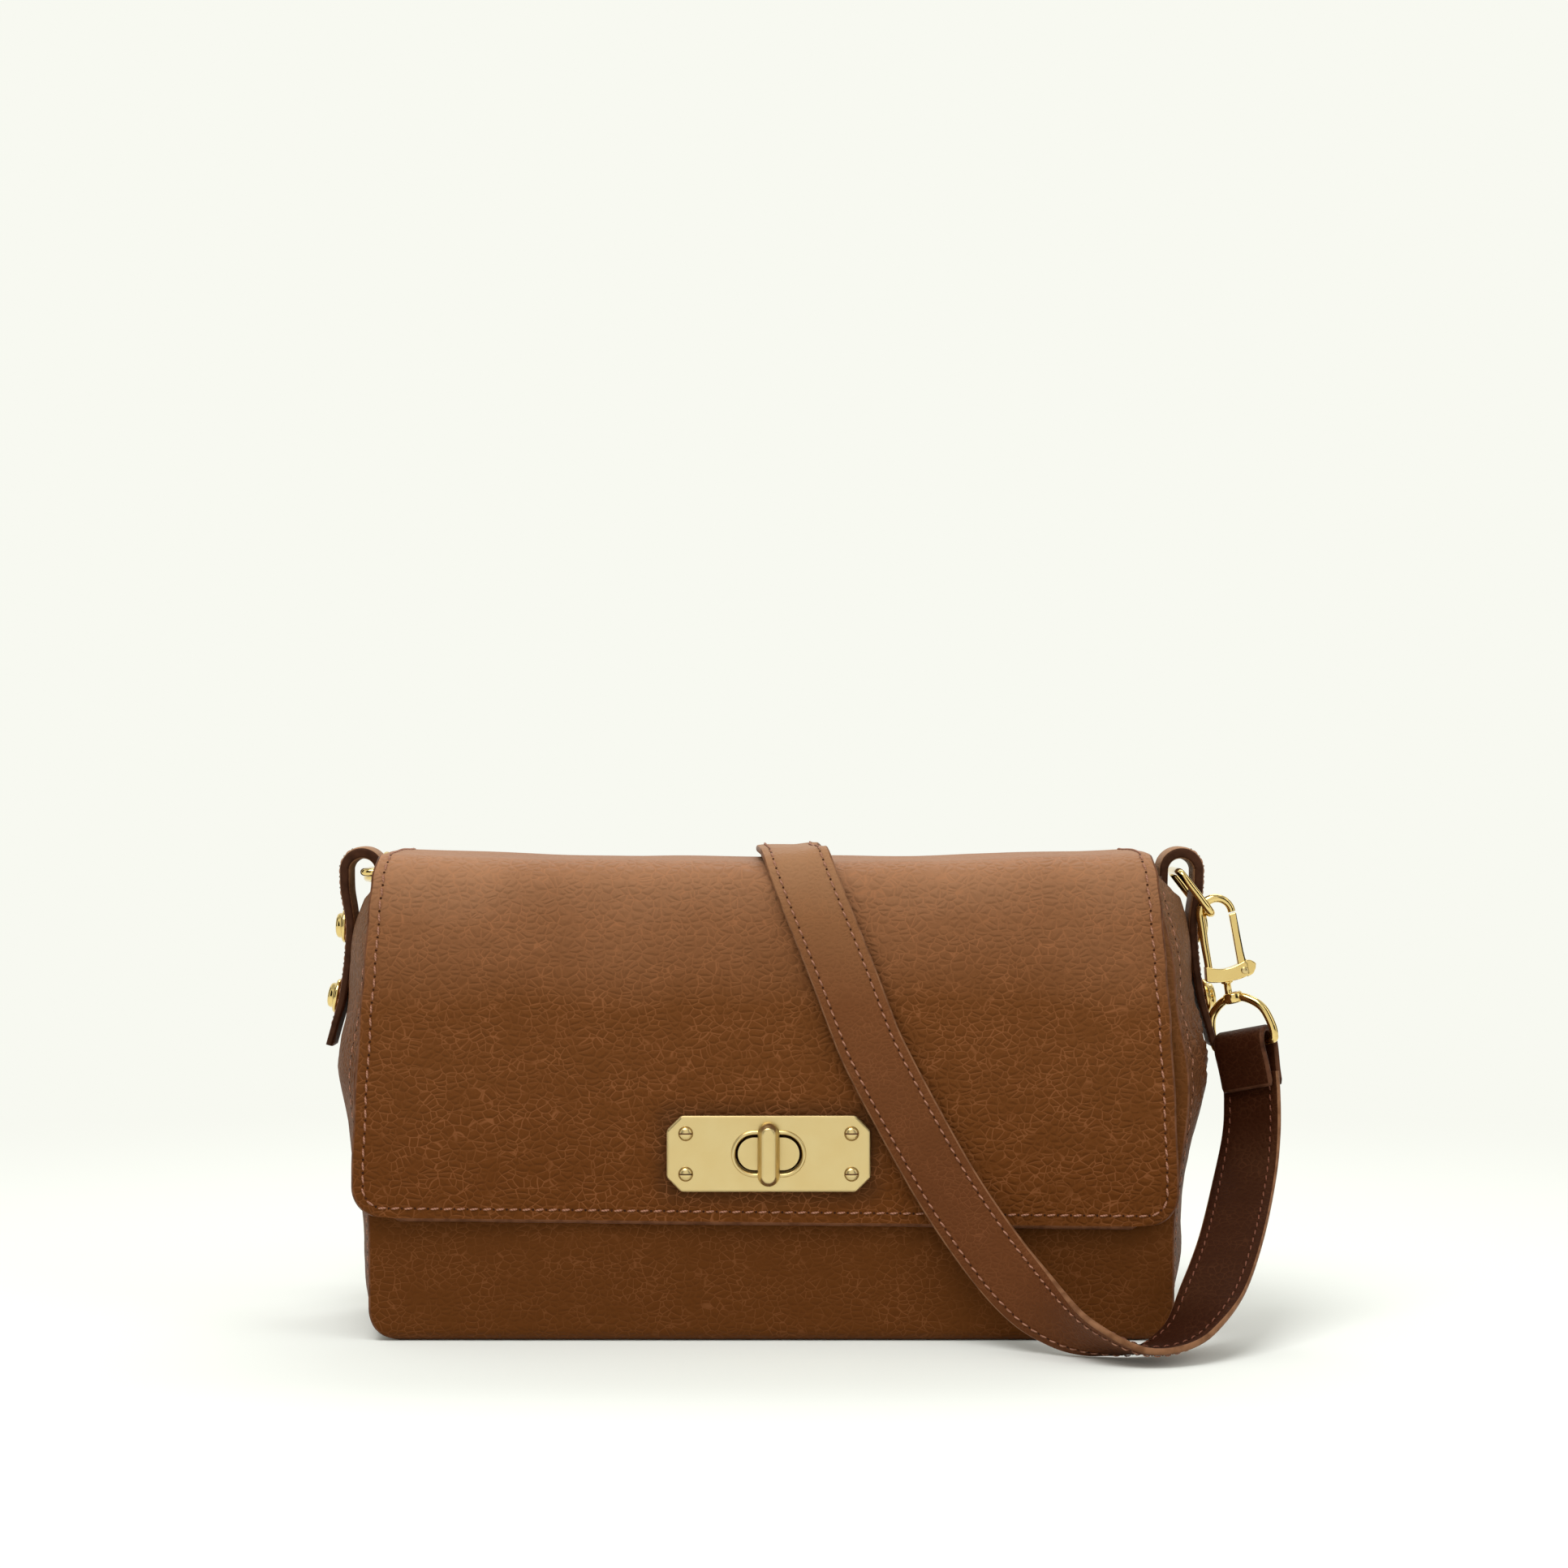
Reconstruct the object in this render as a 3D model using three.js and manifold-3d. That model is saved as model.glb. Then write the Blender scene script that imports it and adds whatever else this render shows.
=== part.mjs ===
// A flap-over sling bag in pebbled leather: U-shaped body, bulging gussets, turn-lock flap, side tabs with
// D-rings, and a flat strap with a swivel snap hook at each end.
// Millimetres, +Z up, front towards -Y. The origin is the middle of the base, on the surface it stands on.
import * as THREE from "three";
import { mergeVertices } from "three/addons/utils/BufferGeometryUtils.js";
import Module from "manifold-3d";

const wasm = await Module();
wasm.setup();

// ---- driving dimensions -------------------------------------------------------------------------
const BODY = { halfWidth: 122.3, front: -38, back: 37, frontTop: -33, backTop: 30, height: 143, backHeight: 139 };
const LEATHER = 2;
const GAP = 0.3;
const CORNER = 10;
const ARC_STEPS = 4;
const BULGE = { edge: 122.6, middle: 98, peak: 12, bottom: 3.6, top: 4, topHeight: 139 };
const GUSSET = { low: 3, rearTop: 131, frontRise: 14, thick: 1.8 };
const FLAP = { shift: -1.9, front: -42, top: 150.4, back: 36, low: 36, frontR: 10, rearR: 7, leather: 1.8, lining: 1.2 };
const FLAP_CORNER = 9.5;
const HINGE = { y: 35.1, z: 141 };
const PLATE = { x: -0.8, z: 58.5, width: 62.6, height: 23.5, chamfer: 4.5, thick: 2 };
const SLOT = { width: 20.8, height: 12.2 };
const BOSS = { width: 18.9, height: 10 };
const KNOB = { width: 6.3, height: 18.9, thick: 5.2, spindle: 1.8 };
const TAB = { halfWidth: 7.5, thick: 3.6, thickEnd: 2.4, loopX: 128.2, loopZ: 144.6, loopR: 4.6, end: 96, innerEnd: 118 };
const STUD_HEIGHTS = { upper: 126.5, lower: 104 };
const RING = { pivotX: 129, pivotZ: 143.9, reach: 16.4, legY: 13.5, wire: 1.25 };
const RIGHT_RING_DROP = THREE.MathUtils.degToRad(52.5);
const CLIP = { legX: 5, archZ: 20.6, wire: 1.25, baseHigh: 2.75, baseThick: 5, pinX: 5.8, gateTop: 18.4 };
const LOOP = { wire: 1.3, half: 10.8, bar: -21.5, apex: -6.1 };
const RIGHT_CLIP = { x: 145.5, y: -10.5, z: 111, lean: THREE.MathUtils.degToRad(-13) };
const LEFT_CLIP = { x: -125, y: 35.6, z: 141.8, dip: THREE.MathUtils.degToRad(5) };
const RIGHT_LOOP_TURN = THREE.MathUtils.degToRad(-36);
const STRAP = { width: 20, outer: 1.5, lining: 0.9, foldLong: 16 };

// ---- materials ----------------------------------------------------------------------------------
const finish = (color, roughness, metalness) => new THREE.MeshStandardMaterial({ color, roughness, metalness });
const tanLeather = finish(0x824e2d, 0.55, 0);
const edgePaint = finish(0x6a3f28, 0.5, 0);
const darkLeather = finish(0x3c140c, 0.6, 0);
const liningCloth = finish(0x5a4636, 0.9, 0);
const board = finish(0x8a8073, 0.8, 0);
const satinGold = finish(0xd6c482, 0.35, 1);
const polishedGold = finish(0xe0c060, 0.15, 1);

const bag = new THREE.Group();

function add(name, geometry, material, parent = bag) {
  const mesh = new THREE.Mesh(geometry, material);
  mesh.name = name;
  parent.add(mesh);
  return mesh;
}

// ---- solids and booleans ------------------------------------------------------------------------
function solid(geometry) {
  const bare = geometry.clone();
  bare.deleteAttribute("normal");
  bare.deleteAttribute("uv");
  const merged = mergeVertices(bare, 1e-3);
  return new wasm.Manifold(
    new wasm.Mesh({
      numProp: 3,
      vertProperties: merged.attributes.position.array,
      triVerts: new Uint32Array(merged.index.array),
    }),
  );
}

function geometryOf(manifold) {
  const made = manifold.getMesh();
  const geometry = new THREE.BufferGeometry();
  geometry.setAttribute("position", new THREE.BufferAttribute(made.vertProperties, 3));
  geometry.setIndex(new THREE.BufferAttribute(made.triVerts, 1));
  return geometry;
}

const union = (...parts) => geometryOf(parts.map(solid).reduce((a, b) => a.add(b)));
const cut = (body, ...tools) => geometryOf(tools.map(solid).reduce((a, b) => a.subtract(b), solid(body)));

// A closed sheet between two faces, each given as a function of (along, across), both from 0 to 1.
function sheet(outer, inner, along, across) {
  const points = [];
  for (const face of [outer, inner]) {
    for (let i = 0; i <= along; i++) {
      for (let j = 0; j <= across; j++) points.push(...face(i / along, j / across));
    }
  }
  const at = (side, i, j) => side * (along + 1) * (across + 1) + i * (across + 1) + j;
  const faces = [];
  const quad = (a, b, c, d) => faces.push(a, b, c, a, c, d);
  for (let i = 0; i < along; i++) {
    for (let j = 0; j < across; j++) {
      quad(at(0, i, j), at(0, i + 1, j), at(0, i + 1, j + 1), at(0, i, j + 1));
      quad(at(1, i, j), at(1, i, j + 1), at(1, i + 1, j + 1), at(1, i + 1, j));
    }
    quad(at(0, i, 0), at(1, i, 0), at(1, i + 1, 0), at(0, i + 1, 0));
    quad(at(0, i + 1, across), at(1, i + 1, across), at(1, i, across), at(0, i, across));
  }
  for (let j = 0; j < across; j++) {
    quad(at(0, 0, j), at(0, 0, j + 1), at(1, 0, j + 1), at(1, 0, j));
    quad(at(0, along, j + 1), at(0, along, j), at(1, along, j), at(1, along, j + 1));
  }
  const geometry = new THREE.BufferGeometry();
  geometry.setAttribute("position", new THREE.Float32BufferAttribute(points, 3));
  geometry.setIndex(signedVolume(points, faces) < 0 ? faces.reverse() : faces);
  return geometry;
}

function signedVolume(points, faces) {
  const corner = (n) => new THREE.Vector3().fromArray(points, 3 * faces[n]);
  let volume = 0;
  for (let n = 0; n < faces.length; n += 3) volume += corner(n).dot(corner(n + 1).cross(corner(n + 2)));
  return volume;
}

// A block from its lowest to its highest corner.
function block(low, high) {
  const size = high.map((v, n) => v - low[n]);
  return new THREE.BoxGeometry(...size).translate(...low.map((v, n) => v + size[n] / 2));
}

// A round bar along Y or Z, between two values on that axis.
function bar(radius, from, to, axis, sides = 16) {
  const geometry = new THREE.CylinderGeometry(radius, radius, to - from, sides);
  if (axis === "z") geometry.rotateX(Math.PI / 2);
  const middle = (from + to) / 2;
  return axis === "z" ? geometry.translate(0, 0, middle) : geometry.translate(0, middle, 0);
}

// A closed wire ring through the given points.
function wireRing(points, radius) {
  const curve = new THREE.CatmullRomCurve3(points.map((p) => new THREE.Vector3(...p)), true, "catmullrom", 0.5);
  return new THREE.TubeGeometry(curve, 40, radius, 8, true);
}

// A flat outline in X and Z, thickened from y = near to y = far.
function panelXZ(shape, near, far, bevel = 0) {
  const depth = far - near - 2 * bevel;
  const options = { depth, bevelEnabled: bevel > 0, bevelThickness: bevel, bevelSize: bevel, bevelSegments: 1, curveSegments: 10 };
  options.bevelOffset = -bevel;
  return new THREE.ExtrudeGeometry(shape, options).rotateX(Math.PI / 2).translate(0, far - bevel, 0);
}

function stadium(width, height, x, z, shape = new THREE.Shape()) {
  const r = height / 2;
  const run = width / 2 - r;
  shape.absarc(x + run, z, r, -Math.PI / 2, Math.PI / 2);
  shape.absarc(x - run, z, r, Math.PI / 2, (3 * Math.PI) / 2);
  shape.closePath();
  return shape;
}

// A section in Y and Z as evenly spaced points with outward normals, from lines and arcs.
function section(path, steps) {
  const points = path.getSpacedPoints(steps);
  return points.map((p, n) => {
    const before = points[Math.max(n - 1, 0)];
    const after = points[Math.min(n + 1, steps)];
    const run = after.clone().sub(before).normalize();
    return { y: p.x, z: p.y, ny: run.y, nz: -run.x };
  });
}

// ---- body ---------------------------------------------------------------------------------------
function bodyPath(inset) {
  const r = CORNER - inset;
  const path = new THREE.Path();
  path.moveTo(BODY.backTop - inset, BODY.backHeight);
  path.lineTo(BODY.back - inset, CORNER);
  path.absarc(BODY.back - CORNER, CORNER, r, 0, -Math.PI / 2, true);
  path.lineTo(BODY.front + CORNER, inset);
  path.absarc(BODY.front + CORNER, CORNER, r, -Math.PI / 2, -Math.PI, true);
  path.lineTo(BODY.frontTop + inset, BODY.height);
  return path;
}

function bodySheet(inset, thick, halfWidth) {
  const outside = bodyPath(inset).getPoints(ARC_STEPS);
  const inside = bodyPath(inset + thick).getPoints(ARC_STEPS);
  const steps = outside.length - 1;
  const face = (points) => (a, b) => {
    const p = points[Math.round(a * steps)];
    return [(2 * b - 1) * halfWidth, p.x, p.y];
  };
  return sheet(face(outside), face(inside), steps, 1);
}

// How far the gusset stands out beyond its seams, at a height.
function bulge(z) {
  if (z < BULGE.middle) {
    const down = (BULGE.middle - z) / BULGE.middle;
    return BULGE.bottom + (BULGE.peak - BULGE.bottom) * Math.cos((Math.PI / 2) * down) ** 2;
  }
  const up = (z - BULGE.middle) / (BULGE.topHeight - BULGE.middle);
  return BULGE.peak - (BULGE.peak - BULGE.top) * up ** 1.5;
}

function gusset(side) {
  const frontAt = (z) => THREE.MathUtils.lerp(BODY.front, BODY.frontTop, z / BODY.height) + 1;
  const backAt = (z) => THREE.MathUtils.lerp(BODY.back, BODY.backTop, z / BODY.height) - 1;
  const face = (inset) => (a, b) => {
    const roughZ = THREE.MathUtils.lerp(GUSSET.low, GUSSET.rearTop, a);
    const y = THREE.MathUtils.lerp(frontAt(roughZ), backAt(roughZ), b);
    const rise = GUSSET.frontRise * Math.max(-y / 34, 0) ** 2;
    const z = THREE.MathUtils.lerp(GUSSET.low, GUSSET.rearTop + rise, a);
    const arch = 1 - (2 * b - 1) ** 2;
    return [side * (BULGE.edge + GUSSET.thick + bulge(z) * arch - inset), y, z];
  };
  return sheet(face(0), face(GUSSET.thick), 20, 10);
}

add("body_wrap", bodySheet(0, LEATHER, BODY.halfWidth), tanLeather);
add("lining", bodySheet(LEATHER + 2 * GAP + 1.6, 0.8, BODY.halfWidth - 1), liningCloth);
add("base_board", block([-118, -27, LEATHER + GAP], [118, 26, LEATHER + GAP + 1.2]), board);
add("inner_pocket", block([-75, 21, 40], [75, 22, 118]), liningCloth);
add("gusset_left", gusset(-1), tanLeather);
add("gusset_right", gusset(1), tanLeather);

// ---- side tabs, studs and D-rings ---------------------------------------------------------------
function tabThick(z) {
  return THREE.MathUtils.lerp(TAB.thickEnd, TAB.thick, THREE.MathUtils.smoothstep(z, 110, TAB.loopZ));
}

function tabLine(steps) {
  const path = new THREE.Path();
  path.moveTo(TAB.loopX - TAB.loopR, TAB.innerEnd);
  path.lineTo(TAB.loopX - TAB.loopR, TAB.loopZ);
  path.absarc(TAB.loopX, TAB.loopZ, TAB.loopR, Math.PI, 0, true);
  const legX = (z) => BULGE.edge + GUSSET.thick + bulge(z) + GAP + tabThick(z) / 2;
  const leg = [];
  for (let n = 1; n <= 8; n++) {
    const z = THREE.MathUtils.lerp(TAB.loopZ - 4, TAB.end, n / 8);
    leg.push(new THREE.Vector2(legX(z), z));
  }
  path.splineThru(leg);
  return section(path, steps);
}

function tab(side) {
  const steps = 40;
  const line = tabLine(steps);
  const face = (out) => (a, b) => {
    const p = line[Math.round(a * steps)];
    const reach = (out * (p.y > TAB.loopX ? tabThick(p.z) : TAB.thick)) / 2;
    return [side * (p.y + p.ny * reach), (2 * b - 1) * TAB.halfWidth, p.z + p.nz * reach];
  };
  return sheet(face(1), face(-1), steps, 1);
}

function stud() {
  const profile = [[0, 0], [4.6, 0], [4.6, 0.9], [3.9, 0.9], [3.6, 1.9], [2.4, 2.5], [0, 2.7]];
  return new THREE.LatheGeometry(profile.map((p) => new THREE.Vector2(...p)), 20).rotateX(Math.PI / 2);
}

function addStud(side, name, z) {
  const rise = 1;
  const slope = Math.atan((bulge(z - rise) - bulge(z + rise)) / (2 * rise));
  const mesh = add(name, stud(), polishedGold);
  const reach = 2 * GAP + tabThick(z);
  const x = BULGE.edge + GUSSET.thick + bulge(z) + reach / Math.cos(slope);
  mesh.position.set(side * x, 0, z);
  mesh.rotation.y = side * (Math.PI / 2 - slope);
}

function dRing() {
  const half = [[0, 5], [0.2, 11.4], [2, RING.legY], [7, RING.legY], [11.8, RING.legY], [14.9, 13], [16.3, 11.4], [16.4, 8]];
  const other = half.map(([x, y]) => [x, -y]).reverse();
  return wireRing([...half, [RING.reach, 0], ...other].map(([x, y]) => [x, y, 0]), RING.wire);
}

for (const [side, word] of [[-1, "left"], [1, "right"]]) {
  add(`tab_${word}`, tab(side), edgePaint);
  for (const [place, z] of Object.entries(STUD_HEIGHTS)) addStud(side, `stud_${word}_${place}`, z);
  const ring = add(`d_ring_${word}`, dRing(), polishedGold);
  ring.position.set(side * RING.pivotX, 0, RING.pivotZ);
  ring.rotation.y = side > 0 ? RIGHT_RING_DROP : 0;
}

// ---- flap and turn lock -------------------------------------------------------------------------
function flapPath(inset) {
  const path = new THREE.Path();
  path.moveTo(FLAP.back - inset, HINGE.z + 0.6);
  path.absarc(FLAP.back - FLAP.rearR, FLAP.top - FLAP.rearR, FLAP.rearR - inset, 0, Math.PI / 2);
  path.absarc(FLAP.front + FLAP.frontR, FLAP.top - FLAP.frontR, FLAP.frontR - inset, Math.PI / 2, Math.PI);
  const straight = FLAP.top - FLAP.frontR - FLAP.low - FLAP_CORNER;
  for (let n = 1; n <= 6; n++) path.lineTo(FLAP.front + inset, FLAP.low + FLAP_CORNER + straight * (1 - n / 6));
  for (let n = 1; n <= 6; n++) path.lineTo(FLAP.front + inset, FLAP.low + FLAP_CORNER * (1 - Math.sin((Math.PI * n) / 12)));
  return path;
}

// Half the flap's width at a height on its front, with round lower corners.
function flapHalf(z, onFront) {
  if (!onFront) return 118.5;
  const half = THREE.MathUtils.lerp(128, 119, THREE.MathUtils.smoothstep(z, 45, 142));
  const into = Math.min(Math.max(FLAP_CORNER - (z - FLAP.low), 0), FLAP_CORNER);
  return half - (FLAP_CORNER - Math.sqrt(FLAP_CORNER ** 2 - into ** 2));
}

function flapSheet(inset, thick) {
  const outside = flapPath(inset).getPoints(ARC_STEPS);
  const inside = flapPath(inset + thick).getPoints(ARC_STEPS);
  const steps = outside.length - 1;
  const face = (points) => (a, b) => {
    const p = points[Math.round(a * steps)];
    return [FLAP.shift + (2 * b - 1) * flapHalf(p.y, p.x < FLAP.front + FLAP.frontR), p.x, p.y];
  };
  const hole = panelXZ(stadium(SLOT.width + 0.8, SLOT.height + 0.8, PLATE.x, PLATE.z), -50, -30);
  return cut(sheet(face(outside), face(inside), steps, 2), hole);
}

function plateOutline(width, height, chamfer) {
  const [w, h] = [width / 2, height / 2];
  const right = [[w - chamfer, -h], [w, chamfer - h], [w, h - chamfer], [w - chamfer, h]];
  const left = right.map(([x, z]) => [-x, z]).reverse();
  const shape = new THREE.Shape([...right, ...left].map(([x, z]) => new THREE.Vector2(PLATE.x + x, z + PLATE.z)));
  shape.holes.push(stadium(SLOT.width, SLOT.height, PLATE.x, PLATE.z, new THREE.Path()));
  return shape;
}

function turnKnob() {
  const face = FLAP.front - GAP - PLATE.thick - 0.7;
  const handle = panelXZ(stadium(KNOB.height, KNOB.width, 0, 0), face - KNOB.thick, face, 1);
  handle.rotateY(Math.PI / 2);
  return union(handle, bar(KNOB.spindle, face - 1, face + 8, "y")).translate(PLATE.x, 0, PLATE.z);
}

function screw(x, z) {
  const back = FLAP.front - GAP - PLATE.thick - GAP;
  const profile = [[0, 0], [1.9, 0], [1.8, 0.5], [1.1, 1], [0, 1.1]].map((p) => new THREE.Vector2(...p));
  const head = new THREE.LatheGeometry(profile, 16).rotateX(Math.PI).translate(0, back, 0);
  return cut(head, block([-3, back - 2, -0.3], [3, back - 0.7, 0.3])).translate(x, 0, z);
}

add("flap_leather", flapSheet(0, FLAP.leather), tanLeather);
add("flap_lining", flapSheet(FLAP.leather + GAP, FLAP.lining), darkLeather);
const plateBack = FLAP.front - GAP;
const outline = plateOutline(PLATE.width, PLATE.height, PLATE.chamfer);
add("lock_plate", panelXZ(outline, plateBack - PLATE.thick, plateBack, 0.5), satinGold);
const backing = FLAP.front + FLAP.leather + FLAP.lining + 2 * GAP;
add("lock_backing_plate", panelXZ(plateOutline(58, 20, 4), backing, backing + 0.8), polishedGold);
const boss = panelXZ(stadium(BOSS.width, BOSS.height, PLATE.x, PLATE.z), -44.6, -37.2);
const bore = bar(KNOB.spindle + GAP, -60, -20, "y").translate(PLATE.x, 0, PLATE.z);
add("lock_base", cut(boss, bore), satinGold);
add("turn_knob", turnKnob(), satinGold);
let count = 1;
for (const x of [-25.4, 25.4]) {
  for (const z of [-6.2, 6.2]) add(`plate_screw_${count++}`, screw(PLATE.x + x, PLATE.z + z), satinGold);
}

// ---- snap hooks: origin in the base block, crown towards +Z, gate on the +X side ---------------
function hookBody() {
  const line = [[-CLIP.legX, 0], [-CLIP.legX, 7], [-CLIP.legX, 14]];
  for (let n = 0; n <= 8; n++) {
    const turn = Math.PI * (1 - n / 8);
    line.push([CLIP.legX * Math.cos(turn), CLIP.archZ + CLIP.legX * Math.sin(turn)]);
  }
  const curve = new THREE.CatmullRomCurve3(line.map(([x, z]) => new THREE.Vector3(x, 0, z)));
  const round = new THREE.Shape().absarc(0, 0, CLIP.wire, 0, 2 * Math.PI);
  const hook = new THREE.ExtrudeGeometry(round, { steps: 30, extrudePath: curve, curveSegments: 5 });
  const half = CLIP.baseThick / 2;
  const base = block([-6.5, -half, -CLIP.baseHigh], [7.2, half, CLIP.baseHigh]);
  const slot = block([2.9, -1.7, -4], [9, 1.7, 4]);
  const pinHole = bar(0.95, -5, 5, "y").translate(CLIP.pinX, 0, 0);
  return cut(union(hook, base), slot, pinHole);
}

function gate() {
  const lever = block([4.4, -1.3, -2], [6.6, 1.3, CLIP.gateTop]);
  const thumb = block([6.5, -1.3, -1.5], [9.8, 1.3, 2.5]);
  return cut(union(lever, thumb), bar(0.95, -5, 5, "y").translate(CLIP.pinX, 0, 0));
}

function swivelPost() {
  const neck = bar(1.15, -8.4, -CLIP.baseHigh - GAP, "z");
  return union(neck, bar(2.2, -9.6, -8.1, "z"));
}

function swivelLoop() {
  const half = [[4.5, -7], [9.2, -10.6], [LOOP.half, -16], [11.2, -20], [9, LOOP.bar]];
  const other = half.map(([x, z]) => [-x, z]).reverse();
  const ring = wireRing([[0, LOOP.apex], ...half, [0, LOOP.bar], ...other].map(([x, z]) => [x, 0, z]), LOOP.wire);
  return cut(union(ring, bar(3, -7.6, -4.6, "z")), bar(1.5, -9, -3, "z"));
}

// The strap's end, folded round the loop's bar and sewn to itself; it hangs along -Z.
function strapFold() {
  const shape = new THREE.Shape();
  const r = LOOP.wire + 0.6;
  const reach = r + STRAP.outer + STRAP.lining;
  shape.moveTo(-reach, 0);
  shape.absarc(0, 0, reach, Math.PI, 0, true);
  shape.lineTo(2.6, -STRAP.foldLong);
  shape.lineTo(-2.6, -STRAP.foldLong);
  shape.closePath();
  shape.holes.push(new THREE.Path().absarc(0, 0, r, 0, 2 * Math.PI));
  const half = STRAP.width / 2 - 1;
  const geometry = new THREE.ExtrudeGeometry(shape, { depth: 2 * half, bevelEnabled: false, curveSegments: 8 });
  return geometry.translate(0, 0, -half).rotateX(Math.PI / 2).rotateZ(Math.PI / 2);
}

function addClip(word, frame, loopTurn) {
  bag.add(frame);
  add(`clip_hook_${word}`, hookBody(), polishedGold, frame);
  add(`clip_gate_${word}`, gate(), polishedGold, frame);
  add(`gate_pin_${word}`, bar(0.65, -2.4, 2.4, "y").translate(CLIP.pinX, 0, 0), satinGold, frame);
  add(`swivel_post_${word}`, swivelPost(), polishedGold, frame);
  add(`swivel_loop_${word}`, swivelLoop(), polishedGold, frame).rotation.z = loopTurn;
}

const rightFrame = new THREE.Group();
rightFrame.position.set(RIGHT_CLIP.x, RIGHT_CLIP.y, RIGHT_CLIP.z);
rightFrame.rotation.y = RIGHT_CLIP.lean;
addClip("right", rightFrame, RIGHT_LOOP_TURN);

const leftFrame = new THREE.Group();
const crown = new THREE.Vector3(0, -Math.cos(LEFT_CLIP.dip), Math.sin(LEFT_CLIP.dip));
const across = new THREE.Vector3(1, 0, 0);
leftFrame.applyMatrix4(new THREE.Matrix4().makeBasis(across.clone().cross(crown), across, crown));
leftFrame.position.set(LEFT_CLIP.x, LEFT_CLIP.y, LEFT_CLIP.z);
addClip("left", leftFrame, Math.PI / 2);

// The fold hangs down from its loop's bar, turned only about that bar.
function addFold(word, frame, turn) {
  frame.updateMatrixWorld(true);
  const along = new THREE.Vector3(Math.cos(turn), Math.sin(turn), 0).transformDirection(frame.matrixWorld);
  const up = new THREE.Vector3(0, 0, 1).addScaledVector(along, -along.z).normalize();
  const fold = add(`strap_fold_${word}`, strapFold(), darkLeather);
  fold.applyMatrix4(new THREE.Matrix4().makeBasis(along, up.clone().cross(along), up));
  fold.position.copy(frame.localToWorld(new THREE.Vector3(0, 0, LOOP.bar)));
}

addFold("right", rightFrame, RIGHT_LOOP_TURN);
addFold("left", leftFrame, Math.PI / 2);

// ---- strap --------------------------------------------------------------------------------------
// Places along the middle of the strap, each with the direction in which its width lies there.
const STRAP_ROUTE = [
  [[-125, 55.6, 121], [-1, 0, 0]],
  [[-125, 58, 100], [-0.9, -0.4, 0]],
  [[-123, 62, 68], [-0.5, -0.85, 0]],
  [[-118, 66, 36], [0, -1, 0]],
  [[-106, 69, 13], [0, -1, 0]],
  [[-84, 72, 3], [0, -1, 0]],
  [[-40, 75, 1.9], [0, -1, 0]],
  [[0, 76, 1.9], [0, -1, 0]],
  [[36, 74, 3], [0, -1, 0]],
  [[62, 71, 13], [0, -1, 0]],
  [[72, 67, 34], [0.1, -1, 0]],
  [[66, 61, 60], [0.45, -0.85, 0.2]],
  [[50, 53, 88], [0.75, -0.55, 0.4]],
  [[32, 45.5, 114], [0.88, -0.15, 0.45]],
  [[16, 41, 135], [0.9, 0, 0.4]],
  [[9, 38.2, 147.8], [1, 0, 0.2]],
  [[7.5, 34.4, 151.9], [1, 0, 0.1]],
  [[6.5, 27, 152.6], [1, 0, 0]],
  [[6.5, 0, 152.8], [1, 0, 0]],
  [[7.5, -28, 152.6], [1, -0.1, 0]],
  [[8.3, -35.6, 152.4], [1, -0.1, 0.05]],
  [[9.7, -41.5, 149.6], [1, -0.1, 0.15]],
  [[13.2, -44.8, 138.5], [0.95, 0, 0.28]],
  [[21, -45.2, 116], [0.93, 0, 0.34]],
  [[27.2, -45, 99.7], [0.92, 0, 0.38]],
  [[31.7, -45, 88.8], [0.9, 0, 0.42]],
  [[43.7, -45, 66], [0.88, 0, 0.48]],
  [[56.5, -46.5, 44], [0.85, 0, 0.53]],
  [[71.6, -53, 23.4], [0.75, -0.15, 0.6]],
  [[84, -64, 12.5], [0.45, -0.55, 0.6]],
  [[98, -74, 6.6], [0.1, -0.9, 0.45]],
  [[112, -76, 4], [0, -1, 0.1]],
  [[124, -69, 8], [0.2, -0.95, -0.2]],
  [[133, -58, 18.5], [0.5, -0.75, -0.4]],
  [[141.8, -42, 32], [0.75, -0.6, -0.25]],
  [[149.5, -22, 49], [0.85, -0.5, -0.1]],
  [[152.6, -14.5, 62], [0.82, -0.57, 0.05]],
  [[152.7, -12.4, 72.6], [0.79, -0.59, 0.18]],
];

function strapLayer(from, to) {
  const steps = 170;
  const places = STRAP_ROUTE.map(([place]) => new THREE.Vector3(...place));
  const widths = STRAP_ROUTE.map(([, width]) => new THREE.Vector3(...width));
  const line = new THREE.CatmullRomCurve3(places, false, "centripetal");
  const turn = new THREE.CatmullRomCurve3(widths, false, "catmullrom", 0.5);
  const face = (out) => (a, b) => {
    const t = line.getUtoTmapping(a);
    const place = line.getPoint(t);
    const run = line.getTangent(t);
    const width = turn.getPoint(t).addScaledVector(run, -turn.getPoint(t).dot(run)).normalize();
    const outward = run.clone().cross(width);
    const reach = ((2 * b - 1) * STRAP.width) / 2;
    return place.addScaledVector(width, reach).addScaledVector(outward, out).toArray();
  };
  return sheet(face(to), face(from), steps, 1);
}

add("strap_outer", strapLayer(-0.1, STRAP.outer - 0.1), tanLeather);
add("strap_lining", strapLayer(-0.1 - GAP - STRAP.lining, -0.1 - GAP), darkLeather);

export default bag;
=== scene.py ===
"""A flap-over sling bag: pebbled leather, turn lock, side tabs with rings, and a strap on two snap hooks."""
import math

import bmesh
import bpy
from mathutils import Matrix, Vector, noise


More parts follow.
